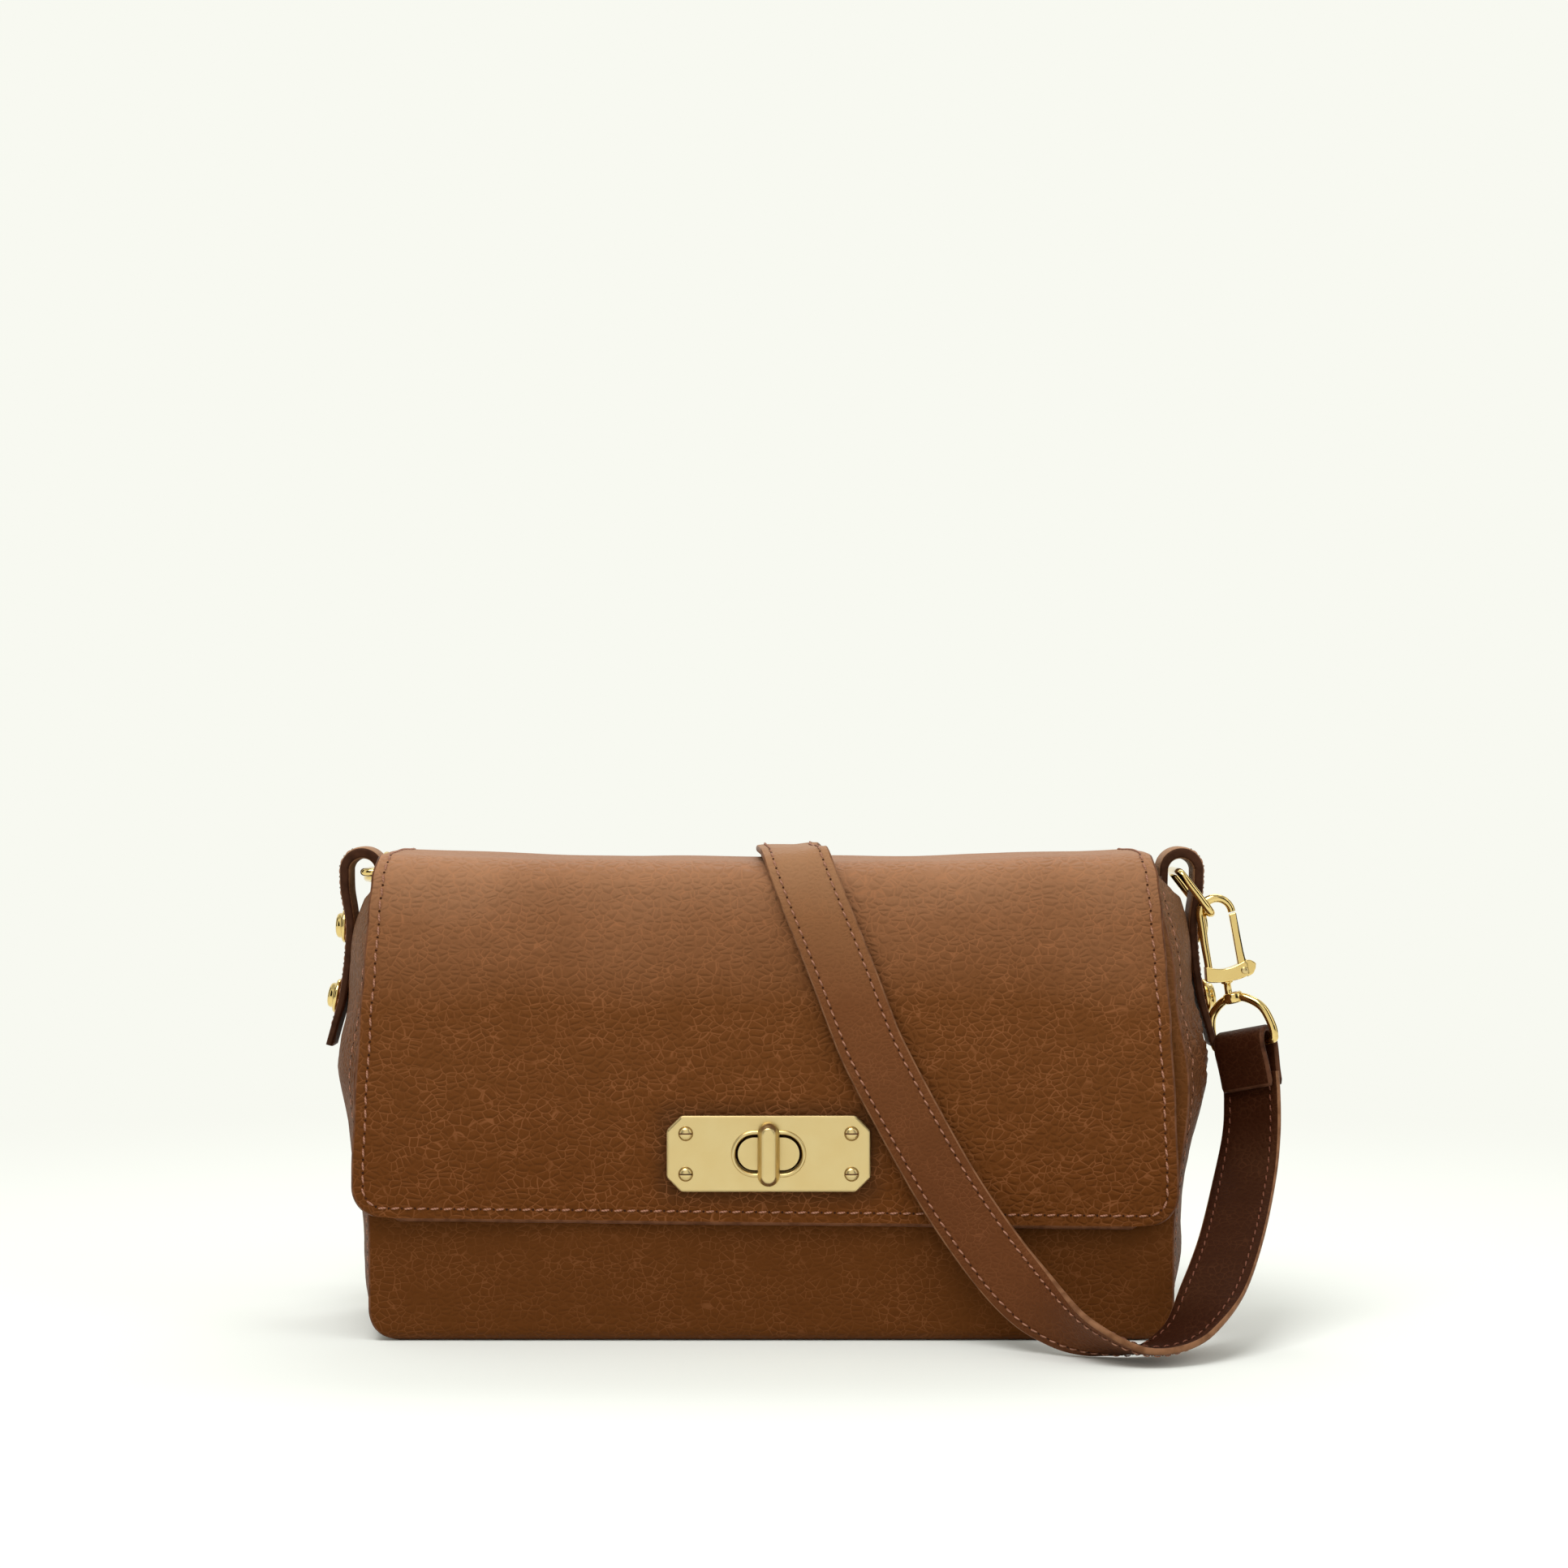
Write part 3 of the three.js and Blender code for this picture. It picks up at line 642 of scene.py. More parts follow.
# ---- stitches -------------------------------------------------------------------------------------
def stitch_shapes(line, normals, pitch, length, radius, stands=0.25):
    """Thread stitches along a line of points, as one (points, faces), and the holes between them."""
    runs = [0.0]
    for a, b in zip(line, line[1:]):
        runs.append(runs[-1] + (b - a).length)
    total = runs[-1]
    count = max(int(total / pitch), 1)

    def at(distance):
        k = 0
        while k < len(runs) - 2 and runs[k + 1] < distance:
            k += 1
        t = (distance - runs[k]) / max(runs[k + 1] - runs[k], 1e-6)
        run = (line[k + 1] - line[k]).normalized()
        return line[k].lerp(line[k + 1], t), normals[k].lerp(normals[k + 1], t).normalized(), run

    threads, holes = [], []
    for n in range(count):
        middle, normal, run = at(total * (n + 0.5) / count)
        side = normal.cross(run).normalized()
        slant = (run + side * 0.12).normalized()
        matrix = Matrix((slant, side, normal)).transposed().to_4x4()
        matrix.translation = middle + normal * stands
        threads.append(moved(capsule(length / 2, radius), matrix))
        end, normal, run = at(total * n / count)
        matrix = Matrix((run, normal.cross(run).normalized(), normal)).transposed().to_4x4()
        matrix.translation = end + normal * 0.08
        holes.append(moved(dimple(radius * 1.25), matrix))
    return joined(*threads), joined(*holes)


def capsule(half, radius):
    """A stitch along X: a low bead that dips into the hide at both ends."""
    profile = [(-1, 0.05, -1.1), (-0.82, 0.75, -0.5), (-0.45, 1, 0), (0, 1.08, 0.12)]
    profile += [(-share, wide, rise) for share, wide, rise in profile[2::-1]]
    sides = 8
    points = []
    for share, wide, rise in profile:
        for turn in (2 * math.pi * k / sides for k in range(sides)):
            high = (math.sin(turn) * wide * 0.8 + rise) * radius
            points.append(Vector((share * half, math.cos(turn) * radius * wide, high)))
    return points, walls(len(profile), sides) + caps(len(profile), sides)


def dimple(radius):
    """A stitch hole: a low dark lens on the hide, painted shade for the hole's recess."""
    lens = [(0.0, 0.04), (radius * 0.7, 0.03), (radius, -0.05), (radius * 0.6, -0.12), (0.0, -0.12)]
    return lathe(lens, 8)


def sewn(name, lines, pitch, length, radius, body="bag", threads=THREAD, stands=0.4):
    """Stitches and their holes along several (points, normals) lines, as two pieces."""
    shapes = [stitch_shapes(line, normals, pitch, length, radius, stands) for line, normals in lines]
    stitched = piece(name, *joined(*[s[0] for s in shapes]), [threads], body=body)
    pricked = piece(name + "_holes", *joined(*[s[1] for s in shapes]), [HOLE], body=body)
    return stitched, pricked


def seam_stitches():
    """The seams where the gussets meet the front and the back."""
    for side, word in SIDES:
        grid = gusset_grid(side)
        normals = grid_normals(grid)
        lines = []
        for column in (2, len(grid[0]) - 3):
            rows = range(4, len(grid) - 1)
            line = [grid[i][column] for i in rows]
            facing = [normals[i][column] for i in rows]
            lines.append((line, [normal * (1 if normal.x * side > 0 else -1) for normal in facing]))
        sewn(f"gusset_stitches_{word}", lines, 4.0, 2.8, 0.3, stands=-0.05)


# ---- the flap -------------------------------------------------------------------------------------
FLAP_HALF_LOW, FLAP_HALF_TOP = 126.6, 118.8
FLAP_WIDTHS = (
    (36, FLAP_HALF_LOW), (52, 126.5), (72, 125.7), (98, 124.2), (115, 122.8), (132, 121.5), (143, 120.3),
    (151, FLAP_HALF_TOP),
)
CROSSING = ((44, 56.5), (66, 43.7), (88.8, 31.7), (99.7, 27.2), (116, 21.0), (138, 12.6), (150, 8.0))
FORWARD = Vector((0, -1, 0))


def on_front(y):
    return y < FLAP_FRONT + FLAP_FRONT_R + 0.01


def flap_half(z, front):
    """Half the flap's width at a height: even on the top and the back, rounded at its lower corners."""
    if not front:
        return FLAP_HALF_TOP
    into = min(max(FLAP_CORNER - (z - FLAP_LOW), 0.0), FLAP_CORNER)
    return blend_between(z, *FLAP_WIDTHS) - (FLAP_CORNER - math.sqrt(FLAP_CORNER**2 - into**2))


def flap_line():
    """Places from the hinge over the top and down the front, as (y, z)."""
    line = [(33.6, 128.0), (34.2, 134.0), (35.3, 139.0)]
    for turn in (math.pi / 2 * k / 8 for k in range(9)):
        rear = FLAP_BACK - FLAP_REAR_R * (1 - math.cos(turn))
        line.append((rear, FLAP_TOP - FLAP_REAR_R * (1 - math.sin(turn))))
    start, end = FLAP_BACK - FLAP_REAR_R, FLAP_FRONT + FLAP_FRONT_R
    line += [(start + (end - start) * k / 16, FLAP_TOP) for k in range(1, 16)]
    for turn in (math.pi / 2 * k / 10 for k in range(11)):
        line.append((end - FLAP_FRONT_R * math.sin(turn), FLAP_TOP - FLAP_FRONT_R * (1 - math.cos(turn))))
    tall = FLAP_TOP - FLAP_FRONT_R - FLAP_LOW - FLAP_CORNER
    heights = [FLAP_LOW + FLAP_CORNER + tall * (1 - k / 44) for k in range(1, 45)]
    heights += [FLAP_LOW + FLAP_CORNER * (1 - math.sin(math.pi / 2 * k / 12)) for k in range(1, 13)]
    return line + [(FLAP_FRONT, z) for z in heights]


def flap_place(y, z, share):
    """A point on the flap's face: share runs from -1 at its left edge to 1 at its right."""
    front = on_front(y)
    half = flap_half(z, front)
    x = FLAP_SHIFT + share * half
    droop = max(0.0, abs(share) * half - (half - 4)) / 4
    if z > 130:
        crown = (z - 130) / (FLAP_TOP - 130)
        sag = 2.6 * (1 - abs(share) ** 2.4) * crown
        z -= sag + 0.5 * droop**2 * crown
        z += rumple((x, y, 5), 0.03, 0.7) * crown
    else:
        z -= 1.3 * share * (1 - (z - FLAP_LOW) / 94)
    if front and z > 60:
        beside = abs(x - strap_crossing(z))
        y -= 0.7 * math.exp(-(((beside - 13.5) / 3.0) ** 2)) * min(1.0, (z - 60) / 50)
    if front:
        flat = math.exp(-(((x - PLATE_X) / 48) ** 4) - ((z - PLATE_Z) / 22) ** 4)
        wave = rumple((x, z, 1), 0.016, 1.6) + rumple((x, z, 7), 0.05, 0.5)
        y += wave * (1 - flat) * min(1.0, (150 - z) / 25) * 0.8
        y += 0.7 * droop**2 * min(1.0, max(0.0, (150 - z) / 10))
    return Vector((x, y, z))


def strap_crossing(z):
    """Where the strap's middle crosses the flap, at a height."""
    return blend_between(z, *CROSSING)


def flap_grid():
    shares = [-math.cos(math.pi * (0.02 + 0.96 * j / 128)) for j in range(129)]
    widest = abs(shares[0])
    return [[flap_place(y, z, share / widest) for share in shares] for y, z in flap_line()]


def off_the_slot(middle):
    """True away from the lock's slot, whose edge the plate covers."""
    dx, dz = abs(middle.x - PLATE_X), abs(middle.z - PLATE_Z)
    return middle.y > FLAP_FRONT + 4 or not (dx < SLOT_WIDTH / 2 + 1 and dz < SLOT_HEIGHT / 2 + 1)


def fold_with_flap(made):
    """Bake the piece's placement into its mesh."""
    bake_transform(made)


def flap():
    made = hide("flap_hide", flap_grid(), FLAP_THICK, [TAN, DARK, EDGE], body=None, keep=off_the_slot)
    fold_with_flap(made)
    stands_for(made, "tan_leather", "flap_leather", "flap_lining")
    line, outward = spaced(*flap_seam(3.1), 1.0)
    for made in sewn("flap_stitches", [(line, outward)], 4.0, 2.7, 0.31, body=None, stands=0.25):
        fold_with_flap(made)
    rear = [flap_place(33.8, 130.2, share / 60) for share in range(-58, 59)]
    backward = [-FORWARD] * len(rear)
    for made in sewn("flap_back_stitches", [(rear, backward)], 4.0, 2.7, 0.36, body=None):
        fold_with_flap(made)


def flap_seam(inset):
    """The flap's stitch line, inset from its edge: over the top at the left, round the front, and back."""
    hang = flap_line()
    halves = {-1: [], 1: []}
    for way, half_route in halves.items():
        for before, (y, z), after in zip(hang[4:], hang[5:], hang[6:]):
            if y < FLAP_FRONT + 0.5 and z < FLAP_LOW + FLAP_CORNER:
                break
            facing = Vector((0, after[1] - before[1], before[0] - after[0])).normalized()
            share = way * (1 - inset / flap_half(z, on_front(y)))
            half_route.append((flap_place(y, z, share), facing))
        for turn in (math.pi / 2 * k / 10 for k in range(1, 11)):
            across = way * (FLAP_HALF_LOW - FLAP_CORNER + (FLAP_CORNER - inset) * math.cos(turn))
            z = FLAP_LOW + FLAP_CORNER - (FLAP_CORNER - inset) * math.sin(turn)
            half_route.append((flap_place(FLAP_FRONT, z, across / flap_half(z, True)), FORWARD))
    low = FLAP_LOW + inset
    shares = [2 * k / flap_half(low, True) for k in range(-57, 58)]
    bottom = [(flap_place(FLAP_FRONT, low, share), FORWARD) for share in shares]
    route = halves[-1] + bottom + halves[1][::-1]
    return [place for place, _ in route], [facing for _, facing in route]


def spaced(line, normals, gap):
    """The same line with its points about gap apart, so that stitches follow it evenly."""
    new_line, new_normals = [line[0]], [normals[0]]
    for k in range(1, len(line)):
        steps = max(int((line[k] - line[k - 1]).length / gap), 1)
        for s in range(1, steps + 1):
            new_line.append(line[k - 1].lerp(line[k], s / steps))
            new_normals.append(normals[k - 1].lerp(normals[k], s / steps).normalized())
    return new_line, new_normals


# ---- the lock -------------------------------------------------------------------------------------
def chamfered(width, height, chamfer):
    """The plate's outline, with its corners cut off."""
    w, h = width / 2, height / 2
    right = [(w - chamfer, -h), (w, chamfer - h), (w, h - chamfer), (w - chamfer, h)]
    return [(PLATE_X + x, PLATE_Z + z) for x, z in right + [(-x, z) for x, z in right[::-1]]]


def lock():
    slot_line = stadium(SLOT_WIDTH, SLOT_HEIGHT, PLATE_X, PLATE_Z)
    outline = chamfered(PLATE_WIDTH, PLATE_HEIGHT, PLATE_CHAMFER)
    shape = prism(outline, PLATE_BACK, PLATE_FACE, [slot_line])
    plate = piece("lock_plate_face", *shape, [SATIN], body="flap", smooth=False)
    soften(plate, 0.8)
    stands_for(plate, "satin_gold", "lock_plate")
    rim_outline = stadium(SLOT_WIDTH + 0.9, SLOT_HEIGHT + 0.9, PLATE_X, PLATE_Z, 24)
    rim_line = [Vector((x, PLATE_FACE - 0.1, z)) for x, z in rim_outline]
    rim = piece("lock_slot_rim", *tube(even(rim_line, 120), 0.66, 14, closed=True), [SATIN], body="flap")
    boss = prism(stadium(BOSS_LONG, BOSS_HIGH, PLATE_X, PLATE_Z, 24), -36.5, -44.2)
    base = piece("lock_boss", *boss, [SATIN], smooth=False)
    soften(base, 0.9, 4)
    stands_for(base, "satin_gold", "lock_base")
    for n in range(1, 5):
        screw(n, PLATE_X + (SCREW_X if n > 2 else -SCREW_X), PLATE_Z + (SCREW_Z if n % 2 == 0 else -SCREW_Z))
    turn_knob()


def even(line, count):
    """A closed line of points at even spacing."""
    closed = line + [line[0]]
    lengths = [(b - a).length for a, b in zip(closed, closed[1:])]
    total = sum(lengths)
    places, k, done = [], 0, 0.0
    for n in range(count):
        target = total * n / count
        while done + lengths[k] < target:
            done += lengths[k]
            k += 1
        places.append(closed[k].lerp(closed[k + 1], (target - done) / max(lengths[k], 1e-9)))
    return places


def screw(number, x, z):
    """A domed screw head with a slot across it, in a seat; slot and seat are dark with painted shade."""
    profile = [(0.0, 0.0), (SCREW_RADIUS, 0.0), (SCREW_RADIUS, 0.25), (1.7, 0.62), (1.2, 0.86)]
    profile += [(0.6, 0.98), (0.0, 1.0)]
    turned = placed((x, PLATE_FACE + 0.02, z), math.pi / 2, "X")
    head = piece(f"screw_head_{number}", *moved(lathe(profile, 40), turned), [SATIN], body="flap")
    stands_for(head, "satin_gold", f"plate_screw_{number}")
    # painted shade: the slot is a dark bar set into the head
    slot_outline = [(x + long, z + high) for long, high in ((-2, -0.2), (2, -0.2), (2, 0.2), (-2, 0.2))]
    groove = prism(slot_outline, PLATE_FACE - 0.5, PLATE_FACE - 1.01)
    painted_slot_shade = piece(f"screw_slot_{number}", *groove, [DARK_EDGE], body="flap", smooth=False)
    # painted shade: a dark gold ring where the head meets the plate
    ring_line = []
    for turn in (2 * math.pi * k / 40 for k in range(40)):
        reach = SCREW_RADIUS + 0.2
        ring_line.append(Vector((x + reach * math.cos(turn), PLATE_FACE, z + reach * math.sin(turn))))
    seat = piece(f"screw_seat_{number}", *tube(ring_line, 0.16, 8, closed=True), [SEAT_SHADE_GOLD], body="flap")


def turn_knob():
    """The bar of the turn knob: rounded ends, a raised flat face and wide bevels, on its spindle."""
    face, low = -50.1, -44.9
    levels = [(0.0, low), (0.45, low - 1.0), (0.5, low - 2.4), (0.1, low - 3.6)]
    levels += [(-0.9, face + 0.15), (-1.5, face)]
    points = []
    for grow, y in levels:
        outline = stadium(KNOB_LONG + 2 * grow, KNOB_WIDE + 2 * grow, steps=20)
        points += [Vector((PLATE_X + z, y, PLATE_Z + x)) for x, z in outline]
    faces = walls(len(levels), len(outline)) + caps(len(levels), len(outline))
    shaft = lathe([(0.0, -36.0), (1.8, -36.0), (1.8, -46.0), (0.0, -46.0)], 32)
    spindle = moved(shaft, placed((PLATE_X, 0, PLATE_Z), -math.pi / 2, "X"))
    knob = piece("turn_knob_bar", *joined((points, faces), spindle), [SATIN], body="knob")
    stands_for(soften(knob, 0.25, 2, 40), "satin_gold", "turn_knob")


# ---- tabs, studs and rings ------------------------------------------------------------------------
def tab_line():
    """The right tab's middle line: from inside the gusset, over the ring and down the outside."""
    line = [(124.4, 118.0), (124.4, 126.0), (124.4, 134.0), (124.4, 140.0)]
    for k in range(15):
        turn = math.pi * (1 - k / 14)
        line.append((130.1 + 5.6 * math.cos(turn), 144.3 + 5.6 * math.sin(turn)))
    line += [(135.5, 138), (134.5, 132), (133.9, 127), (134.3, 119), (135.2, 111), (136.6, 103)]
    line += [(138.6, 96), (140.6, 88.8)]
    return catmull([Vector((x, 0, z)) for x, z in line], 4)


def tab_half_thick(line, n):
    return blend_between(n / (len(line) - 1), (0, 3.0), (0.5, 3.9), (0.65, 3.6), (1.0, 2.4)) / 2


def tabs():
    """Each tab: a loop over its ring with soft edges, its stitches, studs and ring."""
    line = tab_line()
    outline = []
    for k in range(40):
        turn = 2 * math.pi * k / 40
        wide = math.copysign(abs(math.cos(turn)) ** 0.28, math.cos(turn))
        high = math.copysign(abs(math.sin(turn)) ** 0.5, math.sin(turn))
        outline.append((wide, high))
    at_edge = [abs(wide) > 0.93 for wide, _ in outline]
    band = [1 if now and after else 0 for now, after in zip(at_edge, at_edge[1:] + at_edge[:1])]
    indices = band * (len(line) - 1) + [1, 1]
    faces = walls(len(line), len(outline)) + caps(len(line), len(outline))
    for side, word in SIDES:
        points = []
        for n, place in enumerate(line):
            normal = Vector((0, 1, 0)).cross(direction(line, n)).normalized()
            thick = tab_half_thick(line, n)
            for wide, high in outline:
                spot = place + Vector((0, wide * TAB_HALF, 0)) + normal * (high * thick)
                points.append(Vector((side * spot.x, spot.y, spot.z)))
        made = piece(f"tab_{word}_leather", points, faces, [STRAP_TAN, TAB_EDGE], indices)
        stands_for(made, "edge_leather", f"tab_{word}")
        tab_stitches(side, word, line)
        studs(side, word)
        ring(side, word)


def tab_stitches(side, word, line):
    lines = []
    for edge in (1.8 - TAB_HALF, TAB_HALF - 1.8):
        places, outward = [], []
        for n in range(len(line) // 2, len(line) - 3):
            normal = direction(line, n).cross(Vector((0, 1, 0))).normalized()
            normal = normal if normal.x > 0 else -normal
            spot = line[n] + normal * tab_half_thick(line, n)
            places.append(Vector((side * spot.x, edge, spot.z)))
            outward.append(Vector((side * normal.x, 0, normal.z)))
        lines.append((places, outward))
    sewn(f"tab_stitches_{word}", lines, 3.4, 2.3, 0.26, stands=-0.12)


def studs(side, word):
    """The two studs on a tab, each a domed button on a flat collar, facing square off the tab."""
    profile = [(0.0, -0.6), (5.0, -0.6), (STUD_RADIUS, 0.0), (STUD_RADIUS, 0.7), (5.0, 1.1), (4.3, 1.2)]
    profile += [(4.0, 1.5), (3.95, 2.2), (3.6, 2.8), (2.7, 3.2), (1.4, 3.4), (0.0, 3.45)]
    for level, (x, z, slope) in STUDS.items():
        turned = placed((side * x, 0, z), side * (math.pi / 2 - slope), "Y")
        made = piece(f"stud_{word}_{level}_head", *moved(lathe(profile), turned), [POLISHED])
        stands_for(made, "polished_gold", f"stud_{word}_{level}")


def ring(side, word):
    """A tab's ring: a rounded oblong of wire, with one long side in the tab's fold."""
    half = [(0, 5), (0.2, 11.4), (2, 13.5), (7, 13.5), (11.8, 13.5), (14.9, 13.0), (16.3, 11.4), (16.4, 8)]
    line = half + [(16.4, 0)] + [(x, -y) for x, y in half[::-1]]
    smooth = catmull([Vector((x, y, 0)) for x, y in line], 6, closed=True)
    place = placed((side * PIVOT_X, 0, PIVOT_Z), RING_DROP[word], "Y")
    wire = moved(tube(smooth, RING_WIRE, 18, closed=True), place)
    made = piece(f"ring_{word}_wire", *wire, [POLISHED], body=f"ring_{word}")
    stands_for(made, "polished_gold", f"d_ring_{word}")


# ---- snap hooks -----------------------------------------------------------------------------------
def clip_frames():
    """Each hook's own frame, with its crown towards +Z and its gate on the +X side, then the frame of what
    hangs below it, and how far that has swivelled."""
    crown = Vector((0, -math.cos(LEFT_HOOK_DIP), math.sin(LEFT_HOOK_DIP)))
    across = Vector((1, 0, 0))
    left = Matrix((across.cross(crown), across, crown)).transposed().to_4x4()
    left.translation = LEFT_HOOK_AT
    right = placed(HOOK_AT, HOOK_LEAN, "Y")
    return {"right": (right, placed(HUNG_AT, HUNG_LEAN, "Y"), HUNG_TURN), "left": (left, left, math.pi / 2)}


def hook_shape():
    """The hook's wire: up one side and over its crown, thickest near its middle."""
    line = [(-5, 1), (-5, 5), (-5.1, 10), (-5, 14)]
    for turn in (math.pi * (1 - k / 12) for k in range(13)):
        line.append((5 * math.cos(turn), 18.8 + 5 * math.sin(turn)))
    smooth = catmull([Vector((x, 0, z)) for x, z in line], 5)
    return tube(smooth, lambda share: 1.2 + 0.28 * math.sin(math.pi * min(share * 1.15, 1)) ** 2, 20)


def base_outline():
    """The hook's base block: hollowed under the eye, with shoulders at both sides."""
    above = [-6.2 + 12.4 * k / 16 for k in range(17)]
    below = [6.6 - 13.2 * k / 16 for k in range(17)]
    top = [(x, 2.9 - 1.5 * math.cos(math.pi / 2 * x / 6.2)) for x in above]
    bottom = [(x, -2.75 + 0.9 * (abs(x) / 6.6) ** 3) for x in below]
    return top + [(7.2, 2.2), (7.2, -1.6)] + bottom


def clips():
    for word, (place, hung, turn) in clip_frames().items():
        body = f"clip_{word}"
        block = moved(prism(base_outline(), -2.5, 2.5), place)
        base = piece(f"hook_base_{word}", *block, [POLISHED], body=body, smooth=False)
        soften(base, 1.1, 4)
        hook = piece(f"hook_{word}", *moved(hook_shape(), place), [POLISHED], body=body)
        stands_for(hook, "polished_gold", f"clip_hook_{word}")
        gate(word, place)
        pin = lathe([(0.0, -3.0), (1.0, -3.0), (1.15, -2.8), (1.15, 2.8), (1.0, 3.0), (0.0, 3.0)], 28)
        pinned = moved(pin, place @ placed((5.8, 0, 0), math.pi / 2, "X"))
        made = piece(f"gate_rivet_{word}", *pinned, [SATIN], body=body)
        stands_for(made, "satin_gold", f"gate_pin_{word}")
        post = [(0.0, -2.6), (1.9, -2.6), (1.9, -3.2), (1.15, -3.6), (1.15, -8.0), (1.9, -8.2)]
        post += [(2.35, -8.8), (2.1, -9.6), (0.0, -10.0)]
        made = piece(f"swivel_rivet_{word}", *moved(lathe(post, 36), place), [POLISHED], body=body)
        stands_for(made, "polished_gold", f"swivel_post_{word}")
        swivel_loop(word, hung @ Matrix.Rotation(turn, 4, "Z"))
        strap_fold(word, hung, turn)


def gate(word, place):
    """The spring gate: a flat lever that shuts the hook, with a thumb rest past its pin."""
    lever = [(4.2, 2.0), (4.1, 8.0), (4.0, 13.0), (3.9, 18.2), (6.2, 18.5), (6.4, 12.0), (6.6, 6.0)]
    lever += [(6.9, 3.0), (8.4, 2.9), (10.0, 1.6), (9.6, 0.0), (8.6, -1.6), (7.0, -2.2), (4.6, -2.0)]
    flat = moved(prism(lever, -1.3, 1.3), place)
    made = piece(f"gate_lever_{word}", *flat, [POLISHED], body=f"gate_{word}", smooth=False)
    stands_for(soften(made, 0.5, 3), "polished_gold", f"clip_gate_{word}")


def swivel_loop(word, place):
    """The strap's loop on the swivel post: a wire ring with a turned collar."""
    half = [(4.5, -7), (9.0, -10.6), (10.8, -16), (10.8, -19.8), (9.2, -21.4)]
    line = [(0, -6.1)] + half + [(0, LOOP_BAR)] + [(-x, z) for x, z in half[::-1]]
    smooth = catmull([Vector((x, 0, z)) for x, z in line], 8, closed=True)
    outer = [(1.45, -4.5), (2.7, -4.5), (3.05, -5.0), (3.05, -7.2), (2.7, -7.7), (1.45, -7.7), (1.45, -4.5)]
    whole = joined(tube(smooth, LOOP_WIRE, 18, closed=True), lathe(outer, 36))
    made = piece(f"swivel_ring_{word}", *moved(whole, place), [POLISHED])
    stands_for(made, "polished_gold", f"swivel_loop_{word}")


def fold_frame(place, turn):
    """The strap's end hangs down from the loop's bar, turned only about that bar."""
    along = (place.to_3x3() @ Vector((math.cos(turn), math.sin(turn), 0))).normalized()
    up = (Vector((0, 0, 1)) - along * along.z).normalized()
    matrix = Matrix((along, up.cross(along), up)).transposed().to_4x4()
    matrix.translation = place @ Vector((0, 0, LOOP_BAR))
    return matrix


def strap_fold(word, place, turn):
    """The strap's end, folded round the bar and sewn down: dark on both faces and along its edge."""
    matrix = fold_frame(place, turn)
    line = [(-2.5, -13.2), (-2.5, -9), (-2.8, -5), (-3.2, -2)]
    line += [(-3.1 * math.cos(math.pi * k / 10), 3.1 * math.sin(math.pi * k / 10)) for k in range(11)]
    line += [(3.1, -2), (2.6, -5), (1.9, -9), (1.6, -13.2)]
    smooth = catmull([Vector((0, y, z)) for y, z in line], 4)
    across = [-8.1 + 16.2 * k / 10 for k in range(11)]
    grid = [[matrix @ Vector((x, spot.y, spot.z)) for x in across] for spot in smooth]
    made = hide(f"strap_end_{word}", grid, 2.1, [DARK, DARK, DARK_EDGE])
    stands_for(made, "dark_leather", f"strap_fold_{word}")
    places = [matrix @ Vector((-7.2 + 14.4 * k / 16, -3.0, -11.0)) for k in range(17)]
    facing = [matrix.to_3x3() @ FORWARD] * len(places)
    sewn(f"strap_end_stitches_{word}", [(places, facing)], 3.2, 2.2, 0.3, threads=BROWN_THREAD)


# ---- the strap ------------------------------------------------------------------------------------
# Places along the strap's middle, each with the way that its width lies there.
STRAP_ROUTE = [
    ((-125, 56.6, 131), (-1, 0, 0)),
    ((-125, 56.0, 121), (-1, 0, 0)),
    ((-125, 58, 100), (-0.9, -0.4, 0)),
    ((-123, 62, 68), (-0.5, -0.85, 0)),
    ((-118, 66, 36), (0, -1, 0)),
    ((-106, 69, 13), (0, -1, 0)),
    ((-84, 72, 3), (0, -1, 0)),
    ((-40, 75, 1.9), (0, -1, 0)),
    ((0, 76, 1.9), (0, -1, 0)),
    ((36, 74, 3), (0, -1, 0)),
    ((62, 71, 13), (0, -1, 0)),
    ((72, 67, 34), (0.1, -1, 0)),
    ((66, 61, 60), (0.45, -0.85, 0.2)),
    ((50, 53, 88), (0.75, -0.55, 0.4)),
    ((32, 45.5, 114), (0.88, -0.15, 0.45)),
    ((16, 41, 135), (0.9, 0, 0.4)),
    ((7.6, 38.2, 146.4), (1, 0, 0.2)),
    ((6, 34.6, 150.0), (1, 0, 0.1)),
    ((5, 27, 150.7), (1, 0, 0)),
    ((5, 0, 151.1), (1, 0, 0)),
    ((6, -28, 151.0), (1, -0.1, 0)),
    ((6.8, -35.6, 150.7), (1, -0.1, 0.05)),
    ((8.4, -41.7, 148.0), (1, -0.1, 0.15)),
    ((12.4, -45, 137.5), (0.95, 0, 0.28)),
    ((21, -45, 116), (0.93, 0, 0.34)),
    ((27.2, -45, 99.7), (0.92, 0, 0.38)),
    ((31.7, -45, 88.8), (0.9, 0, 0.42)),
    ((43.7, -45, 66), (0.88, 0, 0.48)),
    ((56.5, -46.5, 44), (0.85, 0, 0.53)),
    ((71.6, -53, 23.4), (0.75, -0.15, 0.6)),
    ((84, -64, 12.5), (0.45, -0.55, 0.6)),
    ((98, -74, 6.6), (0.1, -0.9, 0.45)),
    ((112, -76, 4), (0, -1, 0.1)),
    ((124, -69, 8), (0.2, -0.95, -0.2)),
    ((133, -58, 18.5), (0.5, -0.75, -0.4)),
    ((141, -42, 32), (0.75, -0.6, -0.25)),
    ((148.2, -22, 49), (0.85, -0.5, -0.1)),
    ((151.3, -14.3, 62), (0.82, -0.57, 0.05)),
    ((151.8, -12.3, 72.6), (0.79, -0.59, 0.18)),
    ((151.4, -11.4, 80.5), (0.79, -0.59, 0.18)),
]


